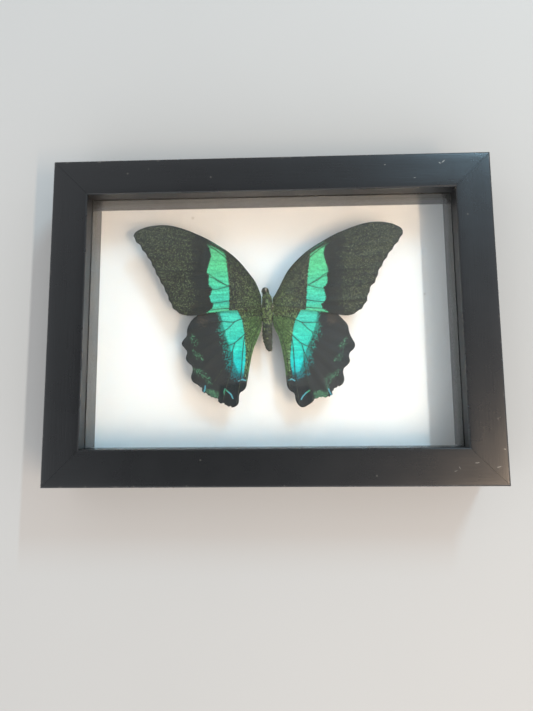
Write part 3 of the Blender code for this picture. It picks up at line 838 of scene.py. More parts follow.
def vein_distance(wing, points):
    """How far each point is from the nearest vein."""
    far = np.full(len(points), 1e9)
    for path in vein_paths[wing].values():
        far = np.minimum(far, distance_to(points, path))
    return far


def line_depth(points, line, side):
    """Signed distance past a line that runs down the wing, positive away from the body."""
    line = np.array(sorted(line, key=lambda p: p[1]), float)
    return side * (points[:, 0] - np.interp(points[:, 1], line[:, 1], line[:, 0]))


def forewing_marks(wing, points):
    """The stored values of a forewing: depth in its band and streak, and how dense its dust lies."""
    band, streak = FORE_BAND[wing]
    side = side_of(wing)
    depth = depth_in(points, band)
    near_band = even_steps(np.array(band, float), 1.0)
    nearest = near_band[np.argmin(np.hypot(points[:, None, 0] - near_band[None, :, 0],
                                           points[:, None, 1] - near_band[None, :, 1]), axis=1)]
    outside = (side * (points[:, 0] - nearest[:, 0]) > 0) & (depth < 0)
    rim = distance_to(points, wing_outlines[wing], closed=True)
    inner = 0.72 - 0.12 * eased(reach(points), 6, 18)
    outer = 0.04 + 0.50 * eased(-depth, 4.5, 10.0)
    cover = np.where(outside, outer, inner)
    cover *= 1 - 0.75 * (1 - eased(rim, 0.3, 1.3)) * eased(reach(points), 12, 26)
    return {
        "band": depth, "streak": depth_in(points, streak), "cover": cover,
        "basal": 1 - eased(reach(points) + 0.5 * points[:, 1], 6, 24),
    }


def hindwing_marks(wing, points):
    """The stored values of a hindwing: places across its band, and depths in its smaller markings."""
    side = side_of(wing)
    lines = HIND_BAND[wing]
    enter = line_depth(points, lines["inner"], side)
    leave = -line_depth(points, lines["outer"], side)
    low_end = -points[:, 1]
    spread = 2.2 + 2.6 * eased(low_end, 0, 5) + 0.8 * eased(low_end, 12, 20)
    moon = np.max([depth_in(points, moon) for moon in GREEN_MOONS[wing]], axis=0)
    arc = np.min([distance_to(points, arc) for arc in BLUE_ARCS[wing]], axis=0)
    arc_green = 1 - eased(distance_to(points, GREEN_ENDS[wing]), 0.5, 1.4)
    deep = np.max([depth_in(points, patch) for patch in DEEP_BLACK[wing]], axis=0)
    moon_cover = 0.56 + 0.40 * eased(low_end, 30.0, 32.5)
    cover = 0.80 * eased(-enter, -0.2, 0.4) * (1 - eased(low_end, 20, 30))
    worn_place = np.array([28.0 if side > 0 else -32.0, 0.2])
    worn = 0.8 - 0.8 * eased(np.hypot(*((points - worn_place) / (4.2, 5.2)).T), 0.0, 1.0)
    return {
        "enter": enter, "leave": leave, "spread": spread, "tail_fade": eased(low_end, 19.5, 30.0),
        "moon": moon, "moon_cover": moon_cover, "arc": arc, "arc_green": arc_green, "deep": deep,
        "cover": cover, "worn": worn,
    }


def store(mesh, name, values):
    """A float on every point of a mesh."""
    made = mesh.attributes.new(name, "FLOAT", "POINT")
    made.data.foreach_set("value", np.asarray(values, np.float32))


def net_mesh(name, points, heights, faces):
    """A net of millimetre points with their heights, facing up."""
    mesh = bpy.data.meshes.new(name)
    mesh.from_pydata([(x * MM, y * MM, z * MM) for (x, y), z in zip(points, heights)], [], faces)
    mesh.update()
    if mesh.polygons[0].normal.z < 0:
        mesh.flip_normals()
    return mesh


def lay_film(wing, marks, material, underside):
    """The film of one wing: a net with its relief and its stored distances, given its thickness."""
    points, faces = net_inside(wing_outlines[wing])
    to_vein = vein_distance(wing, points)
    mesh = net_mesh(wing + "_film", points, wing_heights(wing, points, to_vein), faces)
    mesh.shade_smooth()
    store(mesh, "vein", to_vein)
    for name, values in marks(wing, points).items():
        store(mesh, name, values)
    mesh.materials.append(material)
    mesh.materials.append(underside)
    film = into_scene(wing + "_film", mesh)
    wall = film.modifiers.new("film", "SOLIDIFY")
    wall.thickness = FILM_THICKNESS * MM
    wall.offset = 0.0
    wall.material_offset = 1
    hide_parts(wing)
    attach(film, ROOT)
    print(film.name, len(points), "points")


print("film", FILM_THICKNESS, "mm thick")

# %% [markdown]
# ## Scales
# The colour of a wing is a dust of scales, laid like roof tiles, each a fraction of a millimetre long and
# each of one colour. On this kind the ground is black scales with a sprinkling of gold-green ones, and
# the bands are solid blue-green ones. A cell pattern gives each scale its own chance, and a scale is of
# the bright sort where that chance falls below the cover asked for. The same group serves wings and body.

# %% Shared scale group
scale_group, scale_in, scale_out = group(
    "scale_cover",
    [("Place", "Vector", None), ("Size", "Float", 2100.0), ("Cover", "Float", 0.4),
     ("Clump", "Float", 0.3)],
    [("Mask", "Float"), ("Tone", "Float")],
)
cells = add(scale_group, "ShaderNodeTexVoronoi", {"Vector": scale_in["Place"], "Scale": scale_in["Size"]})
parts_of_chance = add(scale_group, "ShaderNodeSeparateColor", {0: cells.outputs["Color"]}).outputs
clumps = noise_value(scale_group, scale_in["Place"], 700.0, 3.0, 0.6)
clumps = math_node(scale_group, "SUBTRACT", clumps, 0.5)
clumps = math_node(scale_group, "MULTIPLY", clumps, scale_in["Clump"])
limit = math_node(scale_group, "MULTIPLY", scale_in["Cover"], math_node(scale_group, "ADD", clumps, 1.0))
over = math_node(scale_group, "SUBTRACT", limit, parts_of_chance[0])
scale_group.links.new(smooth_step(scale_group, over, 0.0, 0.08), scale_out["Mask"])
scale_group.links.new(parts_of_chance[1], scale_out["Tone"])


def tile_relief(tree, place, strength=0.55):
    """The fine relief of scales that lie like tiles."""
    cells = add(tree, "ShaderNodeTexVoronoi", {"Vector": place, "Scale": 2300.0}).outputs["Distance"]
    return bump(tree, cells, 0.05 * MM, strength)


print("group", scale_group.name)

# %% [markdown]
# ## Forewing finish
# Outwards from the body the forewing is olive dust on black, then the green band, then a stretch of
# plain velvet, and then dust again up to a dark rim. The band runs from green at the front edge to
# blue-green towards the rear. Its edges fray by about the size of a scale, so the stored distance is
# shaken by a fine noise before it is cut off. The underside is a plain dusty brown.

# %% Forewing finish
def ramp_colour(tree, value, stops):
    """A colour that changes along a value, through a few named stops."""
    node = add(tree, "ShaderNodeValToRGB", {0: value})
    bar = node.color_ramp
    while len(bar.elements) < len(stops):
        bar.elements.new(0.5)
    for element, (position, colour) in zip(bar.elements, stops):
        element.position = position
        element.color = linear(*colour)
    return node.outputs["Color"]


def along_wing(tree, place, front, rear):
    """0 at the front height and 1 at the rear height, both Y in millimetres."""
    y = add(tree, "ShaderNodeSeparateXYZ", {0: place}).outputs["Y"]
    inputs = {"Value": y, "From Min": front * MM, "From Max": rear * MM}
    return add(tree, "ShaderNodeMapRange", inputs).outputs["Result"]


def frayed(tree, distance, place, amount, size=2600.0):
    """A distance shaken by scale-sized noise."""
    shake = math_node(tree, "SUBTRACT", noise_value(tree, place, size, 2.0, 0.7), 0.5)
    return math_node(tree, "ADD", distance, math_node(tree, "MULTIPLY", shake, amount))


def streaks_and_fold_shade(tree, place, turn, low, high, size=900.0):
    """Fine light and dark streaks that run along a wing: the painted shade of its fine folds, and the streaks
    of laid hair where the hindwing is hairy.
    """
    inputs = {"Vector": place, "Rotation": (0, 0, turn), "Scale": (0.14, 1, 1)}
    turned = add(tree, "ShaderNodeMapping", inputs).outputs[0]
    return smooth_step(tree, noise_value(tree, turned, size, 3.0, 0.6), 0.3, 0.7, low, high)


def darkened_by_veins(tree, colour, lowest):
    """A colour that darkens close to a vein."""
    by_vein = smooth_step(tree, attribute(tree, "vein"), 0.1, 0.75, lowest, 1.0)
    return blend_colour(tree, 1.0, colour, by_vein, "MULTIPLY")


def forewing_finish(name, turn):
    """The upper side of a forewing, with its streaks of painted fold shade turned to run along it."""
    made, tree, surface = finish(name, Roughness=0.62, Specular_IOR_Level=0.22)
    place = object_place(tree)
    dust = use(tree, scale_group, Place=place, Size=2500.0, Cover=attribute(tree, "cover"), Clump=0.12)
    dusty = ramp_colour(tree, dust["Tone"], [(0.0, (46, 49, 36)), (0.5, (60, 64, 47)), (1.0, (96, 102, 77))])
    dusty = blend_colour(tree, attribute(tree, "basal"), dusty, ramp_colour(tree, dust["Tone"], [
        (0.0, (54, 64, 40)), (0.5, (72, 86, 54)), (1.0, (110, 128, 84))]))
    ground = blend_colour(tree, dust["Mask"], linear(39, 40, 37), dusty)
    # painted shade: light and dark streaks of the wing's fine folds, multiplied into the ground
    ground = blend_colour(tree, 1.0, ground, streaks_and_fold_shade(tree, place, turn, 0.86, 1.12), "MULTIPLY")
    greens = ramp_colour(tree, along_wing(tree, place, 37, 3), [
        (0.0, (96, 188, 132)), (0.35, (86, 190, 136)), (0.7, (72, 194, 160)), (0.84, (66, 190, 164)),
        (1.0, (86, 188, 136))])
    # painted shade of the fine folds, multiplied into the band's greens
    greens = blend_colour(tree, 1.0, greens, streaks_and_fold_shade(tree, place, turn, 0.74, 1.10, 860.0), "MULTIPLY")
    grain = use(tree, scale_group, Place=place, Cover=0.5, Clump=0.2)["Tone"]
    greens = blend_colour(tree, 1.0, greens, smooth_step(tree, grain, 0, 1, 0.78, 1.10), "MULTIPLY")
    in_band = smooth_step(tree, frayed(tree, attribute(tree, "band"), place, 2.2), -0.16, 0.16)
    in_streak = smooth_step(tree, frayed(tree, attribute(tree, "streak"), place, 0.5), -0.1, 0.1, 0.0, 0.75)
    colour = blend_colour(tree, in_band, ground, greens)
    colour = blend_colour(tree, in_streak, colour, linear(84, 150, 132))
    tree.links.new(darkened_by_veins(tree, colour, 0.72), surface.inputs["Base Color"])
    tree.links.new(smooth_step(tree, in_band, 0, 1, 0.68, 0.42), surface.inputs["Roughness"])
    tree.links.new(tile_relief(tree, place), surface.inputs["Normal"])
    return made


underside, tree, surface = finish("wing_underside", Roughness=0.7, Specular_IOR_Level=0.2)
place = object_place(tree)
dust = use(tree, scale_group, Place=place, Cover=0.35, Clump=0.5)
brown = blend_colour(tree, dust["Mask"], linear(46, 40, 34), linear(104, 92, 72))
tree.links.new(brown, surface.inputs["Base Color"])
tree.links.new(tile_relief(tree, place, 0.5), surface.inputs["Normal"])

fore_finishes = {
    "right": forewing_finish("forewing_scales_right", math.radians(-38)),
    "left": forewing_finish("forewing_scales_left", math.radians(38)),
}
for side, fore_finish in fore_finishes.items():
    lay_film("forewing_" + side, forewing_marks, fore_finish, underside)

# %% [markdown]
# ## Hindwing finish
# The hindwing's band is sharp towards the body. Away from it the bright scales thin out over some
# millimetres into black, so there the distance is divided by how far the edge spreads. Towards the body
# lies a green, hairy stretch, and along the outer edge sit dim green moons and thin blue arcs.

# %% Hindwing finish
def hindwing_finish(name, turn):
    """The upper side of a hindwing, with its streaks of painted fold shade and of laid hair turned to run
    along it.
    """
    made, tree, surface = finish(name, Roughness=0.62, Specular_IOR_Level=0.25)
    place = object_place(tree)
    dust = use(tree, scale_group, Place=place, Cover=attribute(tree, "cover"), Clump=0.15)
    olive = ramp_colour(tree, dust["Tone"], [
        (0.0, (54, 64, 40)), (0.5, (76, 90, 56)), (1.0, (116, 132, 88))])
    leaf = ramp_colour(tree, dust["Tone"], [
        (0.0, (58, 80, 50)), (0.5, (88, 120, 76)), (1.0, (138, 172, 114))])
    dusty = blend_colour(tree, along_wing(tree, place, 4, -9), olive, leaf)
    ground = blend_colour(tree, dust["Mask"], linear(40, 41, 41), dusty)
    # light and dark streaks of the laid hair in the hairy stretch
    combed = streaks_and_fold_shade(tree, place, 1.25 * turn, 0.45, 1.45, 800.0)
    combed = math_node(tree, "MULTIPLY", math_node(tree, "SUBTRACT", combed, 1.0), attribute(tree, "cover"))
    # painted shade: light and dark streaks of the wing's fine folds, multiplied into the ground
    ground = blend_colour(tree, 1.0, ground, streaks_and_fold_shade(tree, place, turn, 0.90, 1.1), "MULTIPLY")
    ground = blend_colour(tree, 1.0, ground, math_node(tree, "ADD", combed, 1.0), "MULTIPLY")
    rust = use(tree, scale_group, Place=place, Cover=attribute(tree, "worn"), Clump=0.6)["Mask"]
    ground = blend_colour(tree, math_node(tree, "MULTIPLY", rust, 0.45), ground, linear(84, 68, 55))
    greens = ramp_colour(tree, along_wing(tree, place, 5, -27), [
        (0.0, (68, 186, 166)), (0.3, (60, 198, 174)), (0.55, (42, 198, 180)), (0.8, (10, 196, 194)),
        (1.0, (18, 150, 165))])
    # painted shade of the fine folds, multiplied into the band's greens
    greens = blend_colour(tree, 1.0, greens, streaks_and_fold_shade(tree, place, turn, 0.74, 1.10, 860.0), "MULTIPLY")
    greens = blend_colour(tree, 1.0, greens, smooth_step(tree, dust["Tone"], 0, 1, 0.80, 1.08), "MULTIPLY")
    entered = smooth_step(tree, frayed(tree, attribute(tree, "enter"), place, 1.0), -0.16, 0.16)
    fade = math_node(tree, "SUBTRACT", 1.0, attribute(tree, "tail_fade"))
    leave = frayed(tree, attribute(tree, "leave"), place, 1.3, 2400.0)
    solid = math_node(tree, "MULTIPLY", entered, smooth_step(tree, leave, -0.5, 0.7))
    solid = math_node(tree, "MULTIPLY", solid, smooth_step(tree, fade, 0.35, 0.85))
    thinning = math_node(tree, "DIVIDE", attribute(tree, "leave"), attribute(tree, "spread"))
    spray = math_node(tree, "MULTIPLY", entered, smooth_step(tree, thinning, -1.1, 0.1, 0.0, 1.0))
    spray = math_node(tree, "MULTIPLY", spray, smooth_step(tree, fade, 0.0, 0.5))
    spray = use(tree, scale_group, Place=place, Size=2300.0, Cover=spray, Clump=0.1)["Mask"]
    spray_colour = blend_colour(tree, 1.0, greens, linear(170, 190, 190), "MULTIPLY")
    colour = blend_colour(tree, math_node(tree, "MULTIPLY", spray, 0.75), ground, spray_colour)
    colour = blend_colour(tree, solid, colour, greens)
    moon = smooth_step(tree, frayed(tree, attribute(tree, "moon"), place, 1.6), -1.5, 0.6)
    moon_share = math_node(tree, "MULTIPLY", moon, attribute(tree, "moon_cover"))
    moon_dust = use(tree, scale_group, Place=place, Size=2600.0, Cover=moon_share, Clump=0.3)
    moon_green = ramp_colour(tree, moon_dust["Tone"], [
        (0.0, (48, 76, 60)), (0.6, (64, 104, 78)), (1.0, (88, 146, 108))])
    colour = blend_colour(tree, moon_dust["Mask"], colour, moon_green)
    deep = smooth_step(tree, frayed(tree, attribute(tree, "deep"), place, 1.0), -0.7, 0.7, 0.0, 0.95)
    colour = blend_colour(tree, deep, colour, linear(12, 18, 20))
    arc = smooth_step(tree, frayed(tree, attribute(tree, "arc"), place, 0.25), 0.18, 0.42, 0.85, 0.0)
    arc_colour = blend_colour(tree, attribute(tree, "arc_green"), linear(84, 160, 176), linear(66, 158, 120))
    colour = blend_colour(tree, arc, colour, arc_colour)
    tree.links.new(darkened_by_veins(tree, colour, 0.75), surface.inputs["Base Color"])
    tree.links.new(smooth_step(tree, solid, 0, 1, 0.66, 0.42), surface.inputs["Roughness"])
    tree.links.new(tile_relief(tree, place), surface.inputs["Normal"])
    return made


hind_finishes = {
    "right": hindwing_finish("hindwing_scales_right", math.radians(58)),
    "left": hindwing_finish("hindwing_scales_left", math.radians(-58)),
}
for side, hind_finish in hind_finishes.items():
    lay_film("hindwing_" + side, hindwing_marks, hind_finish, underside)

# %% [markdown]
# ## Vein tubes
# A vein is a stiff hollow tube under the scales, thick at the root and thin at the rim. The drawn paths
# become edges of a mesh that rides on the film's relief, with a thickness on each point. A Geometry Nodes
# tree turns such edges into tubes, because that is one rule for sixty veins: curve, ring, tube, material.

# %% A tree for tubes that follow drawn edges
def new_tree(name, floats=(), others=()):
    """A geometry tree with a mesh input, named inputs and a mesh output."""
    tree = bpy.data.node_groups.new(name, "GeometryNodeTree")
    tree.interface.new_socket("Geometry", in_out="INPUT", socket_type="NodeSocketGeometry")
    for socket, default in floats:
        made = tree.interface.new_socket(socket, in_out="INPUT", socket_type="NodeSocketFloat")
        made.default_value = default
    for socket, kind in others:
        tree.interface.new_socket(socket, in_out="INPUT", socket_type="NodeSocket" + kind)
    tree.interface.new_socket("Geometry", in_out="OUTPUT", socket_type="NodeSocketGeometry")
    source = tree.nodes.new("NodeGroupInput").outputs
    sink = tree.nodes.new("NodeGroupOutput").inputs
    return tree, source, sink


def grow(name, start, tree, **inputs):
    """Run a tree on a mesh, with its inputs set by their identifiers, and keep the plain result."""
    holder = into_scene(name + "_start", start)
    modifier = holder.modifiers.new("grow", "NODES")
    modifier.node_group = tree
    for item in tree.interface.items_tree:
        if item.in_out == "INPUT" and item.name.replace(" ", "_") in inputs:
            modifier[item.identifier] = inputs[item.name.replace(" ", "_")]
    evaluated = holder.evaluated_get(bpy.context.evaluated_depsgraph_get())
    mesh = bpy.data.meshes.new_from_object(evaluated)
    mesh.name = name
    bpy.data.objects.remove(holder)
    return into_scene(name, mesh)


tube_tree, tube_in, tube_out = new_tree("tubes_on_edges", others=[("Sides", "Int"), ("Material", "Material")])
to_curve = add(tube_tree, "GeometryNodeMeshToCurve", {"Mesh": tube_in["Geometry"]})
thickness = add(tube_tree, "GeometryNodeInputNamedAttribute", {"Name": "thickness"}, data_type="FLOAT")
ring = add(tube_tree, "GeometryNodeCurvePrimitiveCircle", {"Resolution": tube_in["Sides"], "Radius": 1.0})
tube = add(tube_tree, "GeometryNodeCurveToMesh", {
    "Curve": to_curve.outputs[0], "Profile Curve": ring.outputs[0],
    "Scale": thickness.outputs["Attribute"], "Fill Caps": True})
tube_smooth = add(tube_tree, "GeometryNodeSetShadeSmooth", {"Geometry": tube.outputs[0]})
tube_real = add(tube_tree, "GeometryNodeRealizeInstances", {"Geometry": tube_smooth.outputs[0]})
tube_set = add(tube_tree, "GeometryNodeSetMaterial",
               {"Geometry": tube_real.outputs[0], "Material": tube_in["Material"]})
tube_tree.links.new(tube_set.outputs[0], tube_out["Geometry"])
print("tree", tube_tree.name)

# %% Vein tubes
VEIN_ROOT = 0.17
VEIN_TIP = 0.055
VEIN_CLEARANCE = 0.25

vein_finish, tree, surface = finish("vein_brown", Roughness=0.5, Specular_IOR_Level=0.35)
place = object_place(tree)
vein_dust = use(tree, scale_group, Place=place, Size=2600.0, Cover=0.30, Clump=0.6)["Mask"]
vein_colour = blend_colour(tree, vein_dust, linear(30, 31, 28), linear(62, 70, 44))
tree.links.new(vein_colour, surface.inputs["Base Color"])
tree.links.new(bump(tree, noise_value(tree, place, 2400.0, 3.0), 0.03 * MM, 0.6), surface.inputs["Normal"])


def vein_edges(wing):
    """All veins of one wing as edges on its film, each tapering to the rim, cut off inside the outline."""
    points, edges, sizes = [], [], []
    for path in vein_paths[wing].values():
        path = path[depth_in(path, wing_outlines[wing]) > VEIN_CLEARANCE]
        heights = wing_heights(wing, path, np.zeros(len(path)))
        size = VEIN_ROOT + (VEIN_TIP - VEIN_ROOT) * eased(reach(path), 4, 46)
        start = len(points)
        points += [(x * MM, y * MM, (z + 0.3 * s) * MM) for (x, y), z, s in zip(path, heights, size)]
        sizes += list(size * MM)
        edges += [(start + i, start + i + 1) for i in range(len(path) - 1)]
    mesh = bpy.data.meshes.new(wing + "_vein_edges")
    mesh.from_pydata(points, edges, [])
    store(mesh, "thickness", sizes)
    return mesh


for wing in wing_outlines:
    veins = grow(wing + "_veins", vein_edges(wing), tube_tree, Sides=6, Material=vein_finish)
    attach(veins, ROOT)
    print(veins.name, len(veins.data.polygons), "faces")

# %% [markdown]
# ## Body
# Under its fur the body is a head with two big bare eyes, a short broad chest that the wings hang on, and
# an abdomen of rings that has shrunk in drying. It is lofted: the construction's plain body is cut across
# every few tenths of a millimetre, and each cut gives the middle and the half width of one ring. The rings
# then get the swellings of the segments, and a few wrinkles.

# %% Body loft
RING_STEP = 0.16
RING_POINTS = 28
ABDOMEN_START = -1.4
NECK = 11.6
SEGMENT_LENGTH = 1.55


def cut_across(node, y):
    """Middle and half sizes in X and Z where a piece is cut at one height, in millimetres."""
    mesh = nodes[node].data
    ends = np.empty(len(mesh.vertices) * 3, np.float32)
    mesh.vertices.foreach_get("co", ends)
    ends = ends.reshape(-1, 3) / MM
    pairs = np.array([e.vertices[:] for e in mesh.edges])
    a, b = ends[pairs[:, 0]], ends[pairs[:, 1]]
    crossing = (a[:, 1] - y) * (b[:, 1] - y) < 0
    a, b = a[crossing], b[crossing]
    share = ((y - a[:, 1]) / (b[:, 1] - a[:, 1]))[:, None]
    points = a + share * (b - a)
    lo, hi = points.min(0), points.max(0)
    return (lo + hi) / 2, (hi - lo) / 2


def body_swell(y):
    """How far the real form stands in or out of the plain body at this height, as a factor."""
    if y < ABDOMEN_START:
        phase = (ABDOMEN_START - y) / SEGMENT_LENGTH
        return 0.86 + 0.13 * abs(math.sin(math.pi * phase)) ** 0.5
    if y < NECK:
        return 0.94 + 0.05 * math.sin((y - ABDOMEN_START) * 1.1)
    return 0.95


def body_breadth(y):
    """Sideways the fur and the wing joints fill the body out, most of all at the chest."""
    return float(np.interp(y, [-14.5, -13.6, -12, -8, -3, 0, 3, 7.5, 10.5, 12.5, 15.5],
                           [1.9, 1.9, 1.45, 1.24, 1.22, 1.34, 1.36, 1.34, 1.24, 1.2, 1.2]))


body_low, body_high = (c.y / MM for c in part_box("body"))
heights_along = np.arange(body_low + 0.08, body_high - 0.05, RING_STEP)
verts, faces = [], []
for y in heights_along:
    middle, half = cut_across("body", y)
    swell = body_swell(y)
    for i in range(RING_POINTS):
        turn = 2 * math.pi * i / RING_POINTS
        wrinkle = 1 + 0.035 * noise.noise(Vector((math.cos(turn) * 1.7, y * 0.9, math.sin(turn) * 1.7)))
        keel = 1 + 0.10 * max(0.0, math.sin(turn)) ** 3 * (1 if y < ABDOMEN_START else 0)
        x = middle[0] + half[0] * swell * body_breadth(y) * wrinkle * math.cos(turn)
        z = middle[2] + half[2] * swell * wrinkle * keel * math.sin(turn)
        verts.append((x * MM, y * MM, z * MM))
rows = len(heights_along)
for row in range(rows - 1):
    for i in range(RING_POINTS):
        j = (i + 1) % RING_POINTS
        a, b = row * RING_POINTS, (row + 1) * RING_POINTS
        faces.append((a + i, a + j, b + j, b + i))
faces.append(tuple(range(RING_POINTS)))
faces.append(tuple((rows - 1) * RING_POINTS + i for i in reversed(range(RING_POINTS))))
body_mesh = bpy.data.meshes.new("body_form")
body_mesh.from_pydata(verts, [], faces)
bm = bmesh.new()
bm.from_mesh(body_mesh)
bmesh.ops.recalc_face_normals(bm, faces=bm.faces)
bm.to_mesh(body_mesh)
bm.free()
body_mesh.shade_smooth()
along_body = np.repeat(heights_along, RING_POINTS)
store(body_mesh, "fur", np.where(along_body > ABDOMEN_START, 1.0, 0.45))
store(body_mesh, "gold", 0.12 + 0.38 * eased(along_body, -4.0, 1.0) * (1 - eased(along_body, 11.0, 13.0)))
body = into_scene("body_form", body_mesh)

skin, tree, surface = finish("body_skin", Roughness=0.6, Specular_IOR_Level=0.3)
place = object_place(tree)
flecks = use(tree, scale_group, Place=place, Size=1500.0, Cover=attribute(tree, "gold"), Clump=0.8)
bright = ramp_colour(tree, flecks["Tone"], [(0.0, (66, 82, 44)), (1.0, (132, 150, 96))])
body_colour = blend_colour(tree, flecks["Mask"], linear(46, 48, 40), bright)
folds = add(tree, "ShaderNodeSeparateXYZ", {0: place}).outputs["Y"]
folds = math_node(tree, "SINE", math_node(tree, "MULTIPLY", folds, 2 * math.pi / (SEGMENT_LENGTH * MM)))
folds = smooth_step(tree, folds, -1.0, 1.0, 0.82, 1.06)
tree.links.new(blend_colour(tree, 1.0, body_colour, folds, "MULTIPLY"), surface.inputs["Base Color"])
tree.links.new(bump(tree, noise_value(tree, place, 1800.0, 4.0), 0.06 * MM, 0.6), surface.inputs["Normal"])
body_mesh.materials.append(skin)
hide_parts("body")
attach(body, ROOT)
print("body rings", rows)

# %% [markdown]
# ## Eyes and pale tufts
# The eyes are two domes of fine facets that take up the sides of the head, dull and brown after drying.
# Above them lies a small tuft of pale scales, and another covers each forewing's joint. The antennae have
# broken off. Each of these is an egg-shaped dome sunk halfway into the body, so one helper makes them all.

# %% Eyes
HEAD = 13.9
head_middle, head_half = cut_across("body", HEAD)
eye_finish, tree, surface = finish("eye_brown", Roughness=0.3, Specular_IOR_Level=0.5)
place = object_place(tree)
facets = add(tree, "ShaderNodeTexVoronoi", {"Vector": place, "Scale": 9000.0}).outputs["Distance"]
eye_tone = use(tree, drift_group, Place=place, Size=900.0, Low=0.75, High=1.2)["Value"]
eye_colour = blend_colour(tree, 1.0, linear(70, 58, 50), eye_tone, "MULTIPLY")
tree.links.new(eye_colour, surface.inputs["Base Color"])
tree.links.new(bump(tree, facets, 0.02 * MM, 0.6), surface.inputs["Normal"])


def dome(name, centre, radii, material, turn=0.0):
    """An egg-shaped piece at a place, in millimetres."""
    bm = bmesh.new()
    bmesh.ops.create_uvsphere(bm, u_segments=24, v_segments=14, radius=1.0)
    spin = Euler((0, 0, turn)).to_matrix()
    for v in bm.verts:
        v.co = (spin @ Vector(v.co[i] * radii[i] for i in range(3)) + Vector(centre)) * MM
    mesh = bpy.data.meshes.new(name)
    bm.to_mesh(mesh)
    bm.free()
    mesh.shade_smooth()
    mesh.materials.append(material)
    made = into_scene(name, mesh)
    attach(made, ROOT)


for side, name in ((-1, "left"), (1, "right")):
    eye_place = (head_middle[0] + side * head_half[0] * 0.62, 13.75, head_middle[2] + 0.15)
    dome("eye_" + name, eye_place, (0.72, 0.95, 0.92), eye_finish)
tan_scales, tree, surface = finish("tan_scales", Roughness=0.6, Specular_IOR_Level=0.3)
place = object_place(tree)
tan_dust = use(tree, scale_group, Place=place, Size=2600.0, Cover=0.6, Clump=0.5)["Mask"]
tan_colour = blend_colour(tree, tan_dust, linear(74, 72, 64), linear(150, 142, 130))
tree.links.new(tan_colour, surface.inputs["Base Color"])
tree.links.new(bump(tree, noise_value(tree, place, 2600.0, 3.0), 0.05 * MM, 0.6), surface.inputs["Normal"])
brow_place = (head_middle[0] + 0.25, 13.95, head_middle[2] + 1.12)
dome("brow_scales", brow_place, (0.55, 0.95, 0.42), tan_scales, turn=0.2)
for x, name in ((-4.25, "left"), (0.72, "right")):
    dome("wing_joint_" + name, (x, 6.5, 19.75), (0.42, 0.75, 0.40), tan_scales)
print("head is", round(2 * head_half[0], 2), "mm wide")

# %% [markdown]
# ## Hair
# Fine hair covers the chest, frames the abdomen and lies along the wing roots and the inner edge of each
# hindwing, combed towards the tail. One Geometry Nodes tree makes all of it: it scatters points over a
# surface where a stored value allows, stands a thin three-sided blade on each, leans it along a comb
# direction with some disorder, varies its length, and gives each blade its own tone.

# %% A tree for hair
hair_tree, hair_in, hair_out = new_tree(
    "combed_hair",
    floats=[("Density", 1e6), ("Length", 0.0012), ("Thickness", 0.00003), ("Lie", 0.8), ("Disorder", 0.4)],
    others=[("Comb", "Vector"), ("Seed", "Int"), ("Material", "Material")],
)
grown = add(hair_tree, "GeometryNodeInputNamedAttribute", {"Name": "fur"}, data_type="FLOAT")
share_of_density = math_node(hair_tree, "MULTIPLY", hair_in["Density"], grown.outputs["Attribute"])
scatter = add(hair_tree, "GeometryNodeDistributePointsOnFaces",
              {"Mesh": hair_in["Geometry"], "Density": share_of_density, "Seed": hair_in["Seed"]})
blade_line = add(hair_tree, "GeometryNodeCurvePrimitiveBezierSegment", {
    "Start": (0, 0, 0), "Start Handle": (0, 0, 0.35), "End Handle": (0.02, 0, 0.7), "End": (0.16, 0, 1.0),
    "Resolution": 4})
along_blade = add(hair_tree, "GeometryNodeSplineParameter").outputs["Factor"]
taper = math_node(hair_tree, "SUBTRACT", 1.08, along_blade)
blade_radius = math_node(hair_tree, "DIVIDE", hair_in["Thickness"], hair_in["Length"])
blade_radius = math_node(hair_tree, "MULTIPLY", blade_radius, taper)
blade_ring = add(hair_tree, "GeometryNodeCurvePrimitiveCircle", {"Resolution": 3, "Radius": 1.0})
blade = add(hair_tree, "GeometryNodeCurveToMesh", {
    "Curve": blade_line.outputs[0], "Profile Curve": blade_ring.outputs[0],
    "Scale": blade_radius, "Fill Caps": True})


def vector_node(operation, inputs):
    """One step of arithmetic on directions, in the hair tree."""
    return add(hair_tree, "ShaderNodeVectorMath", inputs, operation=operation).outputs[0]


lie = vector_node("SCALE", {0: hair_in["Comb"], "Scale": hair_in["Lie"]})
lean = vector_node("ADD", {0: scatter.outputs["Normal"], 1: lie})
any_way = add(hair_tree, "FunctionNodeRandomValue", {"Seed": 11}, data_type="FLOAT_VECTOR")
any_way.inputs[0].default_value = (-1, -1, -1)
any_way.inputs[1].default_value = (1, 1, 1)
stray = vector_node("SCALE", {0: any_way.outputs[0], "Scale": hair_in["Disorder"]})
lean = vector_node("ADD", {0: lean, 1: stray})
stand = add(hair_tree, "FunctionNodeAlignRotationToVector", {"Vector": lean}, axis="Z")
length_spread = add(hair_tree, "FunctionNodeRandomValue", {"Seed": 5}, data_type="FLOAT")
length_spread.inputs[2].default_value = 0.55
length_spread.inputs[3].default_value = 1.15
own_length = math_node(hair_tree, "MULTIPLY", length_spread.outputs[1], hair_in["Length"])
planted = add(hair_tree, "GeometryNodeInstanceOnPoints", {
    "Points": scatter.outputs["Points"], "Instance": blade.outputs[0],
    "Rotation": stand.outputs[0], "Scale": own_length})
tone = add(hair_tree, "FunctionNodeRandomValue", {"Seed": 23}, data_type="FLOAT")
toned = add(hair_tree, "GeometryNodeStoreNamedAttribute", {
    "Geometry": planted.outputs[0], "Name": "tone", "Value": tone.outputs[1]},
    data_type="FLOAT", domain="INSTANCE")
hair_real = add(hair_tree, "GeometryNodeRealizeInstances", {"Geometry": toned.outputs[0]})
hair_set = add(hair_tree, "GeometryNodeSetMaterial",
               {"Geometry": hair_real.outputs[0], "Material": hair_in["Material"]})
hair_tree.links.new(hair_set.outputs[0], hair_out["Geometry"])
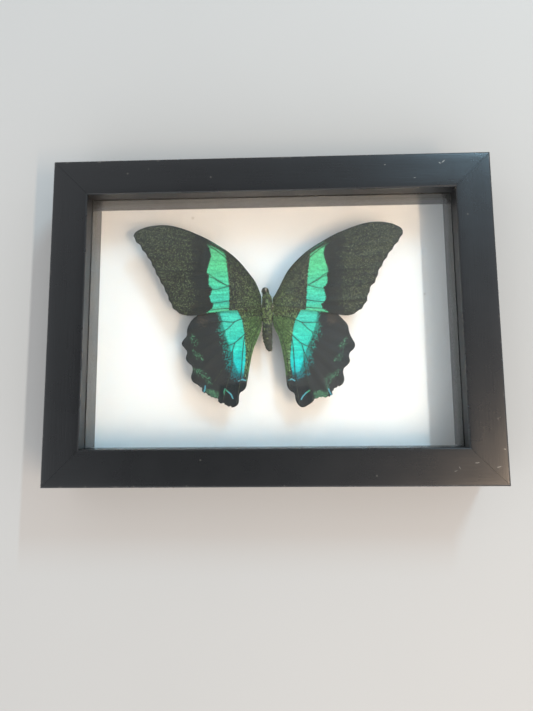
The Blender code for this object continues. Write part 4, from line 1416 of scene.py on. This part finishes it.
print("tree", hair_tree.name)

# %% Hair
def hair_finish(name, dark, middle, light):
    """Hair whose blades each take one tone between dark and light."""
    made, tree, surface = finish(name, Roughness=0.55, Specular_IOR_Level=0.3)
    shade = ramp_colour(tree, attribute(tree, "tone"), [(0.0, dark), (0.6, middle), (1.0, light)])
    tree.links.new(shade, surface.inputs["Base Color"])
    return made


def patch_of(wing, keep):
    """The part of a wing's film where hair grows, as a flat net with the fur value on its points."""
    points, faces = net_inside(even_steps(wing_outlines[wing], 0.9))
    heights = wing_heights(wing, points, vein_distance(wing, points)) + FILM_THICKNESS / 2
    mesh = net_mesh(wing + "_hair_bed", points, heights, faces)
    store(mesh, "fur", keep(wing, points))
    return mesh


def inner_edge(wing, points):
    """Where the hindwing's inner stretch is hairy: 1 by the body, 0 at the band."""
    enter = line_depth(points, HIND_BAND[wing]["inner"], side_of(wing))
    return eased(-enter, 0.3, 2.2) * (1 - eased(-points[:, 1], 19, 28)) * eased(-points[:, 1], -4, 0)


def wing_root(wing, points):
    """Where a forewing is hairy: 1 at its joint, 0 a few millimetres out."""
    return (1 - eased(reach(points), 3.0, 9.0)) * (1 - eased(points[:, 1], 9.0, 12.0))


dark_fur = hair_finish("dark_fur", (38, 40, 34), (58, 64, 46), (118, 134, 82))
green_fur = hair_finish("green_fur", (56, 74, 42), (88, 118, 66), (136, 170, 100))
root_fur = hair_finish("root_fur", (40, 44, 30), (64, 74, 44), (104, 120, 70))
hair_pieces = [
    grow("body_hair", body_mesh.copy(), hair_tree, Density=6.5e6, Length=0.85 * MM, Thickness=0.045 * MM,
         Lie=3.2, Disorder=0.7, Comb=(0.0, -1.0, 0.0), Seed=3, Material=dark_fur),
]
for wing in wing_outlines:
    side = side_of(wing)
    if wing.startswith("hind"):
        hair = grow(wing + "_hair", patch_of(wing, inner_edge), hair_tree, Density=9e6, Length=1.9 * MM,
                    Thickness=0.05 * MM, Lie=6.0, Disorder=0.9, Comb=(0.30 * side, -1.0, 0.0), Seed=8,
                    Material=green_fur)
    else:
        hair = grow(wing + "_root_hair", patch_of(wing, wing_root), hair_tree, Density=9e6, Length=1.2 * MM,
                    Thickness=0.045 * MM, Lie=4.0, Disorder=1.1, Comb=(0.8 * side, -0.5, 0.0), Seed=9,
                    Material=root_fur)
    hair_pieces.append(hair)
for piece in hair_pieces:
    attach(piece, ROOT)
    print(piece.name, len(piece.data.polygons), "faces")

# %% [markdown]
# ## Floor
# The frame lies on a plain pale sheet, wide enough to reach the far end of every view. It is staging and
# not part of the object.

# %% Floor
FLOOR_RADIUS = 1.6

floor_mesh = bpy.data.meshes.new("floor")
bm = bmesh.new()
bmesh.ops.create_circle(bm, cap_ends=True, radius=FLOOR_RADIUS, segments=96)
bm.to_mesh(floor_mesh)
bm.free()
floor = into_scene("floor", floor_mesh)
floor_paint, tree, surface = finish("floor_paper", Roughness=0.85, Specular_IOR_Level=0.2)
place = object_place(tree)
drift = use(tree, drift_group, Place=place, Size=3.0, Low=0.97, High=1.0)["Value"]
floor_grey = blend_colour(tree, 1.0, linear(196, 193, 188), drift, "MULTIPLY")
tree.links.new(floor_grey, surface.inputs["Base Color"])
floor_mesh.materials.append(floor_paint)
print("floor", 2 * FLOOR_RADIUS, "m across")
